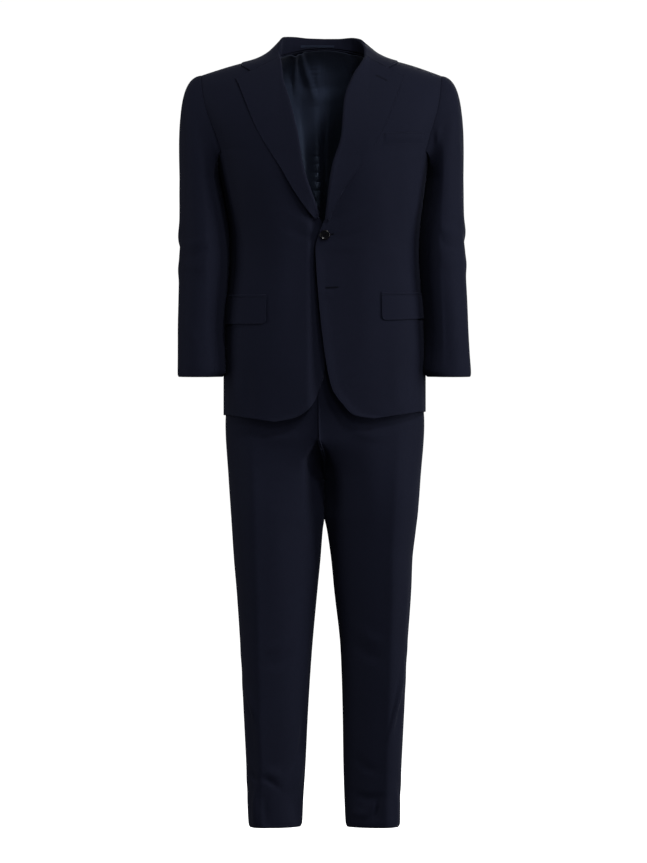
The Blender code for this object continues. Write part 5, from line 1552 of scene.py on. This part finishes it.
def add_hanger_loop():
    """The loop across the inside of the back neck, standing off it in the middle."""
    x = np.linspace(*LOOP_SPAN, LOOP_ACROSS)
    share = (x - x[0]) / (x[-1] - x[0])
    y = body_depth("right", "back", np.abs(x), back_neck_height(x))
    y = y - LOOP_OFF - LOOP_BOW * np.sin(np.pi * share)
    down = np.linspace(0.0, 1.0, LOOP_DOWN)[:, None]
    height = LOOP_HEIGHTS[0] + (LOOP_HEIGHTS[1] - LOOP_HEIGHTS[0]) * down + 0.0 * x
    y = y - LOOP_LEAN * (1 - down) - LOOP_ROUND * np.sin(np.pi * down)
    grid = points(np.broadcast_to(x, height.shape), y, height)
    normals = np.broadcast_to(np.array([0.0, 1.0, 0.0]), grid.shape)
    add_shell("hanger_loop", grid, normals, LINING_CLOTH, "satin", dip=0.0)


# The trousers.


def leg_half(side, face, share, height):
    """X and Y of half a leg: share is 0 at the outseam and 1 at the inseam."""
    table = LEG[side]
    outer, inner = table["outer"](height), table["inner"](height)
    crease = inner + (outer - inner) * CREASE_SHARE[face]
    first = share <= CREASE_COLUMN
    local = np.where(first, share / CREASE_COLUMN, (1 - share) / (1 - CREASE_COLUMN))
    turn = np.radians(90.0 * local)
    end = np.where(first, outer, inner)
    x = crease + (end - crease) * np.abs(np.cos(turn)) ** (2 / LEG_SQUARE)
    return x, table[face](height) * np.abs(np.sin(turn)) ** (2 / LEG_SQUARE), crease


def crotch_hollow(x, height):
    """The share by which the front is drawn in at the fork: sharp on the right, soft on the left."""
    middle = HOLLOW["middle"](height)
    right = (middle - x) / (middle - HOLLOW["right"](height))
    left = (x - middle) / (HOLLOW["left"](height) - middle)
    shape = np.where(
        x < middle, 1 - smooth_step(right, HOLLOW_EDGE, 1.0), 1 - smooth_step(left, 0.0, 1.0))
    inside = (height > HOLLOW_ROWS[0][0]) & (height < HOLLOW_ROWS[-1][0])
    return np.where(inside, HOLLOW["depth"](height) * shape, 0.0)


def trouser_point(side, face, share, height):
    """A point of the trousers. Above the fork the share runs on to the centre seam."""
    x, leg_y, crease = leg_half(side, face, share, height)
    out = np.clip(x / LEG[side]["outer"](height), 0.0, 1.0)
    hip_y = HIP[face](height) * (1 - out**HIP_SQUARE) ** (1 / HIP_SQUARE)
    fall = np.clip((FORK_START - height) / (FORK_START - CROTCH), 0.0, 1.0)
    near = share**FORK_SPREAD
    seam = share**FORK_SEAM
    fork = seam * (1 - np.sqrt(1 - fall * fall)) + (1 - seam) * smooth_step(fall, 0.0, 1.0)
    ease = smooth_step(-height, -LEG_EASE[0], -LEG_EASE[1])
    legs = ease + (fork - ease) * near
    y = hip_y + (leg_y - hip_y) * legs
    press = smooth_step(-height, -CREASE_FROM, -CREASE_FULL)
    y = y + CREASE_HEIGHT * press * np.exp(-np.abs(x - crease) / CREASE_REACH)
    x = sign(side) * x
    if face == "front":
        x = x - FLY_SHIFT * share**FLY_SPREAD * smooth_step(height, *FLY_FROM)
        y = -y * (1 - crotch_hollow(x, height))
    return points(x, y, height)


def keep_apart(side, x):
    """X of a leg, held to its own side of the middle, where the legs press together."""
    return sign(side) * np.maximum(sign(side) * x, -LEGS_PRESS)


def trouser_heights():
    """The heights of the trousers' rows, closest where the fork curves under."""
    low = np.linspace(TROUSER_HEM, CROTCH, LEG_ROWS_BELOW)[:-1]
    turn = np.radians(np.linspace(90.0, 0.0, FORK_ROWS))[:-1]
    fork = FORK_START + (CROTCH - FORK_START) * np.sin(turn)
    high = np.linspace(FORK_START, WAIST_SEAM - SEAM_GAP, HIP_ROWS_ABOVE)
    return np.concatenate([low, fork, high])


def add_trouser_panel(side, face):
    across = np.linspace(0.0, 1.0, LEG_ACROSS)
    height = trouser_heights()[:, None] + 0.0 * across
    share = across + 0.0 * height
    grid = trouser_point(side, face, share, height)
    normals = cross_normals(grid)
    normals *= np.sign(np.mean(normals[:, LEG_MIDDLE, 1])) * (1.0 if face == "back" else -1.0)
    grid = with_folds(grid, normals, f"leg_{side}", leg_fade(normals))
    grid[..., 0] = np.where(height < FLY_FROM[0], keep_apart(side, grid[..., 0]), grid[..., 0])
    add_shell(f"trouser_{face}_{side}", grid, normals, TROUSER_CLOTH)


def add_waistband(side):
    """Half of the waistband, from the fly round to the centre back."""
    height = np.linspace(WAIST_SEAM, WAIST_TOP, WAISTBAND_ROWS)[:, None]
    front = np.linspace(1.0, 0.0, WAISTBAND_COLUMNS)[None, :]
    back = np.linspace(0.0, 1.0, WAISTBAND_COLUMNS)[None, 1:]
    ahead = trouser_point(side, "front", front + 0.0 * height, height + 0.0 * front)
    behind = trouser_point(side, "back", back + 0.0 * height, height + 0.0 * back)
    grid = np.concatenate([ahead, behind], axis=1)
    add_shell(f"waistband_{side}", grid, grid_normals(grid, (0.0, 0.0)), CLOTH)


def add_fly_shield():
    """The shield behind the fly, which closes the front of the trousers."""
    x = np.linspace(*SHIELD_ACROSS, SHIELD_COLUMNS)
    height = np.linspace(*SHIELD_LEVELS, SHIELD_ROWS)[:, None] + 0.0 * x
    depth = -HIP["front"](height) + TROUSER_CLOTH + SHIELD_OFF
    grid = points(np.broadcast_to(x, height.shape), depth, height)
    normals = np.broadcast_to(np.array([0.0, -1.0, 0.0]), grid.shape)
    add_shell("fly_shield", grid, normals, TROUSER_CLOTH)


# Buttons and buttonholes.

# Half of a button's section, as shares of its radius and thickness.
BUTTON_PROFILE = (
    (0.0, 0.0), (0.80, 0.0), (0.93, 0.10), (1.0, 0.36), (0.995, 0.62), (0.95, 0.86), (0.88, 0.98),
    (0.82, 1.0), (0.76, 0.97), (0.70, 0.86), (0.62, 0.76), (0.50, 0.71), (0.30, 0.69), (0.0, 0.69),
)
DISH = 0.69
BUTTON_STEPS = 64
BUTTON_SHARP = 40.0
MERGE_WITHIN = 1e-6
HOLE_SEGMENTS = 20
HOLE_APART = 0.0034
HOLE_RADIUS = 0.0009
THREAD_RADIUS = 0.00038
THREAD_RISE = 0.0006
THREAD_SUNK = 0.0006
THREAD_POINTS = 13
THREAD_SIDES = 8
THREAD_TIP = 0.35
OFF_AXIS = 1e-6
HOLE_SIDE_POINTS = 12
HOLE_GAP = 0.0009
BUTTONHOLE_LIFT = {"upper": 0.0002, "lower": 0.0012}
LOOP_END_POINTS = 9

# The buttonholes of the left front: where each starts, how long it is and how steeply it slopes.
BUTTONHOLES = {
    "upper": {"start": (-0.0045, -0.3575), "length": 0.0225, "slope": 0.06},
    "lower": {"start": (0.0035, -0.4650), "length": 0.0245, "slope": 0.04},
}
# The one on the left lapel lies along its rows, from one share of its width to another.
LAPEL_BUTTONHOLE = {"row": 1.05, "shares": (0.42, 0.66), "row_height": 0.024, "width": 0.075}


def drill(form_mesh):
    """The button's mesh with four holes through its dished face."""
    cutter_form = bmesh.new()
    for across in (-HOLE_APART / 2, HOLE_APART / 2):
        for up in (-HOLE_APART / 2, HOLE_APART / 2):
            bmesh.ops.create_cone(
                cutter_form, cap_ends=True, segments=HOLE_SEGMENTS, radius1=HOLE_RADIUS, radius2=HOLE_RADIUS,
                depth=3 * BUTTON_THICKNESS,
                matrix=Matrix.Translation((across, up, BUTTON_THICKNESS / 2)))
    cutter_mesh = bpy.data.meshes.new("holes")
    cutter_form.to_mesh(cutter_mesh)
    cutter_form.free()
    blank, cutter = bpy.data.objects.new("blank", form_mesh), bpy.data.objects.new("holes", cutter_mesh)
    for made in (blank, cutter):
        bpy.context.scene.collection.objects.link(made)
    cut = blank.modifiers.new("holes", "BOOLEAN")
    cut.operation, cut.solver, cut.object = "DIFFERENCE", "EXACT", cutter
    shown = blank.evaluated_get(bpy.context.evaluated_depsgraph_get())
    mesh = bpy.data.meshes.new_from_object(shown)
    for made in (blank, cutter):
        bpy.data.objects.remove(made)
    bpy.data.meshes.remove(cutter_mesh)
    bpy.data.meshes.remove(form_mesh)
    return mesh


def button_mesh(radius):
    """A turned button with a rolled rim, a dished face and four holes, lying on its back."""
    form = bmesh.new()
    line = [form.verts.new((r * radius, 0.0, h * BUTTON_THICKNESS)) for r, h in BUTTON_PROFILE]
    edges = [form.edges.new(pair) for pair in zip(line, line[1:])]
    bmesh.ops.spin(
        form, geom=line + edges, cent=(0, 0, 0), axis=(0, 0, 1), angle=np.radians(360.0),
        steps=BUTTON_STEPS, use_merge=True,
    )
    bmesh.ops.remove_doubles(form, verts=form.verts, dist=MERGE_WITHIN)
    bmesh.ops.recalc_face_normals(form, faces=form.faces)
    mesh = bpy.data.meshes.new("button")
    form.to_mesh(mesh)
    form.free()
    return drill(mesh)


def add_button(name, node, place):
    """A horn button on the front that carries it, sewn on with two bars of thread."""
    side = "left" if node == "button_upper" else "right"
    surface = float(body_depth(side, "front", abs(place["x"]), place["height"]))
    if side == "right":
        surface += UNDERLAP
    mesh = button_mesh(place["radius"])
    mesh.materials.clear()
    mesh.materials.append(MATERIALS["horn"])
    mesh.shade_smooth()
    mesh.set_sharp_from_angle(angle=np.radians(BUTTON_SHARP))
    button = bpy.data.objects.new(name, mesh)
    bpy.context.scene.collection.objects.link(button)
    back = surface - place["sunk"]
    button.location = (place["x"], back, place["height"])
    button.rotation_euler = (np.radians(90.0), 0.0, 0.0)
    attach(button, "root")
    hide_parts(node)
    dish = back - DISH * BUTTON_THICKNESS
    for across in (-HOLE_APART / 2, HOLE_APART / 2):
        bow = np.linspace(-1.0, 1.0, THREAD_POINTS)
        up = place["height"] + bow * HOLE_APART / 2
        out = dish + THREAD_SUNK - (THREAD_SUNK + THREAD_RISE) * (1 - bow**4)
        path = points(place["x"] + across, out, up)
        label = "right" if across < 0 else "left"
        add_thread(f"{node}_thread_{label}", path, closed=False)


def add_thread(name, path, closed):
    """A round thread along a path that lies on a face which looks forward."""
    count = len(path)
    if closed:
        along = np.roll(path, -1, axis=0) - np.roll(path, 1, axis=0)
    else:
        along = np.gradient(path, axis=0)
    along = unit(along)
    aside = unit(np.cross(along, np.array([0.0, -1.0, 0.0]) + OFF_AXIS))
    out = np.cross(aside, along)
    turn = np.linspace(0.0, 2 * np.pi, THREAD_SIDES + 1)[:-1, None]
    radius = np.full((count, 1, 1), THREAD_RADIUS)
    if not closed:
        radius[[0, -1]] *= THREAD_TIP
    ring = np.cos(turn) * aside[:, None] + np.sin(turn) * out[:, None]
    vertices = (path[:, None] + radius * ring).reshape(-1, 3)
    number = np.arange(count * THREAD_SIDES).reshape(count, THREAD_SIDES)
    following = np.roll(number, -1, axis=0) if closed else number[1:]
    near = number if closed else number[:-1]
    quads = np.stack(
        [near, np.roll(near, -1, axis=1), np.roll(following, -1, axis=1), following], axis=-1)
    faces = quads.reshape(-1, 4).tolist()
    if not closed:
        faces += [number[0][::-1].tolist(), number[-1].tolist()]
    length = np.linalg.norm(np.diff(path, axis=0), axis=-1)
    v = np.repeat(np.concatenate([[0.0], np.cumsum(length)]), THREAD_SIDES)
    uv = np.stack([np.tile(np.arange(THREAD_SIDES) * THREAD_RADIUS, count), v], axis=-1)
    add_mesh(name, None, vertices, faces, uv, "thread")


def hole_outline(length):
    """Places along and above the middle line of a buttonhole, once round its edge."""
    turn = np.radians(np.linspace(-90.0, 90.0, LOOP_END_POINTS))
    far = np.stack([length + HOLE_GAP * np.cos(turn), HOLE_GAP * np.sin(turn)], axis=-1)
    near = np.stack([-HOLE_GAP * np.cos(turn), -HOLE_GAP * np.sin(turn)], axis=-1)
    side = np.linspace(0.0, length, HOLE_SIDE_POINTS)[1:-1]
    top = np.stack([side[::-1], 0 * side + HOLE_GAP], axis=-1)
    bottom = np.stack([side, 0 * side - HOLE_GAP], axis=-1)
    return np.concatenate([far, top, near, bottom])


def add_buttonholes():
    """The worked edges of the buttonholes of the left front and its lapel."""
    for name, hole in BUTTONHOLES.items():
        line = hole_outline(hole["length"])
        x = hole["start"][0] + line[:, 0]
        height = hole["start"][1] + line[:, 1] + hole["slope"] * line[:, 0]
        normal = face_normal("left", "front", x, height)
        path = body_face("left", "front", x, height) + BUTTONHOLE_LIFT[name] * normal
        add_thread(f"buttonhole_{name}_thread", path, closed=True)
    hole = LAPEL_BUTTONHOLE
    start, end = hole["shares"]
    line = hole_outline((end - start) * hole["width"])
    share = start + line[:, 0] / hole["width"]
    row = hole["row"] - line[:, 1] / hole["row_height"]
    x, height, lift = lapel_places("left", row, share)
    path = body_face("left", "front", x, height) + lift[:, None] * face_normal("left", "front", x, height)
    add_thread("buttonhole_lapel_thread", path, closed=True)


# The stage.


FLOOR_HEIGHT = -1.66
FLOOR_RADIUS = 59.0
FLOOR_SEGMENTS = 96
DOME_RADIUS = 60.0
DOME_SEGMENTS = (48, 24)
FLOOR_COLOUR = (0.93, 0.93, 0.93, 1)
GLOW = 1.02
WORLD_STRENGTH = 0.10
CAMERA_AWAY = 14.0
FRAME_PLANE = -0.06
FRAME_CENTRE = (-0.0018, -0.7575)
FRAME_TALL = 1.763
SENSOR = 36.0
CLIP = (0.5, 300.0)

# Soft boxes: where each stands, what it faces, its size and its power.
LIGHTS = {
    "front": ((2.1, -3.4, 2.9), (0.0, 0.0, -0.65), (0.7, 0.6), 91.0),
    "fill": ((1.0, -4.2, 1.3), (0.0, 0.0, -0.70), (1.0, 0.9), 34.0),
    "right_side": ((3.6, -1.3, -0.3), (0.1, 0.0, -0.8), (1.4, 2.8), 94.0),
    "left_side": ((-3.8, -1.0, -0.3), (-0.1, 0.0, -0.8), (1.4, 2.8), 46.0),
    "top": ((0.0, -0.2, 2.8), (0.0, 0.0, -0.3), (2.4, 1.6), 13.0),
    "back": ((0.8, 3.8, 1.2), (0.0, 0.0, -0.7), (2.4, 2.4), 48.0),
}


def stage_object(name, form):
    """A form of the studio, which isn't part of the suit, with a material of its own."""
    mesh = bpy.data.meshes.new(name)
    form.to_mesh(mesh)
    form.free()
    made = bpy.data.objects.new(name, mesh)
    bpy.context.scene.collection.objects.link(made)
    material, _, _, shader = new_material(f"pale_{name}")
    shader.inputs["Emission Color"].default_value = (1, 1, 1, 1)
    shader.inputs["Emission Strength"].default_value = GLOW
    mesh.materials.append(material)
    return made, shader


def add_floor():
    """A plain pale floor just under the hems."""
    form = bmesh.new()
    bmesh.ops.create_circle(form, cap_ends=True, radius=FLOOR_RADIUS, segments=FLOOR_SEGMENTS)
    floor, shader = stage_object("floor", form)
    floor.location = (0.0, 0.0, FLOOR_HEIGHT)
    shader.inputs["Base Color"].default_value = FLOOR_COLOUR
    shader.inputs["Roughness"].default_value = 0.9
    shader.inputs["Specular IOR Level"].default_value = 0.1
    floor.visible_diffuse = False
    floor.visible_glossy = False


def add_backdrop():
    """A pale studio dome, far off, which only the camera sees."""
    form = bmesh.new()
    across, up = DOME_SEGMENTS
    bmesh.ops.create_uvsphere(form, u_segments=across, v_segments=up, radius=DOME_RADIUS)
    dome, shader = stage_object("backdrop", form)
    shader.inputs["Base Color"].default_value = (0.0, 0.0, 0.0, 1)
    for ray in ("diffuse", "glossy", "transmission", "volume_scatter", "shadow"):
        setattr(dome, f"visible_{ray}", False)


def add_light(name, place, target, size, power):
    light = bpy.data.lights.new(name, "AREA")
    light.shape = "RECTANGLE"
    light.size, light.size_y = size
    light.energy = power
    lamp = bpy.data.objects.new(name, light)
    lamp.location = place
    lamp.rotation_euler = (Vector(target) - Vector(place)).to_track_quat("-Z", "Y").to_euler()
    bpy.context.scene.collection.objects.link(lamp)


def add_stage():
    add_floor()
    add_backdrop()
    for name, (place, target, size, power) in LIGHTS.items():
        add_light(name, place, target, size, power)
    world = bpy.data.worlds.new("studio")
    world.use_nodes = True
    world.node_tree.nodes["Background"].inputs["Color"].default_value = (1, 1, 1, 1)
    world.node_tree.nodes["Background"].inputs["Strength"].default_value = WORLD_STRENGTH
    bpy.context.scene.world = world
    bpy.context.scene.view_settings.view_transform = "Standard"


def add_camera():
    data = bpy.data.cameras.new("camera")
    data.sensor_width = SENSOR
    data.lens = SENSOR * CAMERA_AWAY / FRAME_TALL
    data.clip_start, data.clip_end = CLIP
    camera = bpy.data.objects.new("camera", data)
    camera.location = (FRAME_CENTRE[0], FRAME_PLANE - CAMERA_AWAY, FRAME_CENTRE[1])
    camera.rotation_euler = (np.radians(90.0), 0.0, 0.0)
    bpy.context.scene.collection.objects.link(camera)
    bpy.context.scene.camera = camera


def build():
    for side in ("right", "left"):
        add_front(side)
        add_side(side)
        add_back(side)
        add_lapel(side)
        add_sleeve("top_sleeve", side)
        add_sleeve("under_sleeve", side)
        add_pocket(side)
        add_lining(side)
        for face in ("front", "back"):
            add_trouser_panel(side, face)
        add_waistband(side)
    add_collar()
    add_breast_welt()
    add_hanger_loop()
    add_fly_shield()
    add_button("button_upper_horn", "button_upper", BUTTON_UPPER)
    add_button("button_lower_horn", "button_lower", BUTTON_LOWER)
    add_buttonholes()


build()
add_stage()
add_camera()
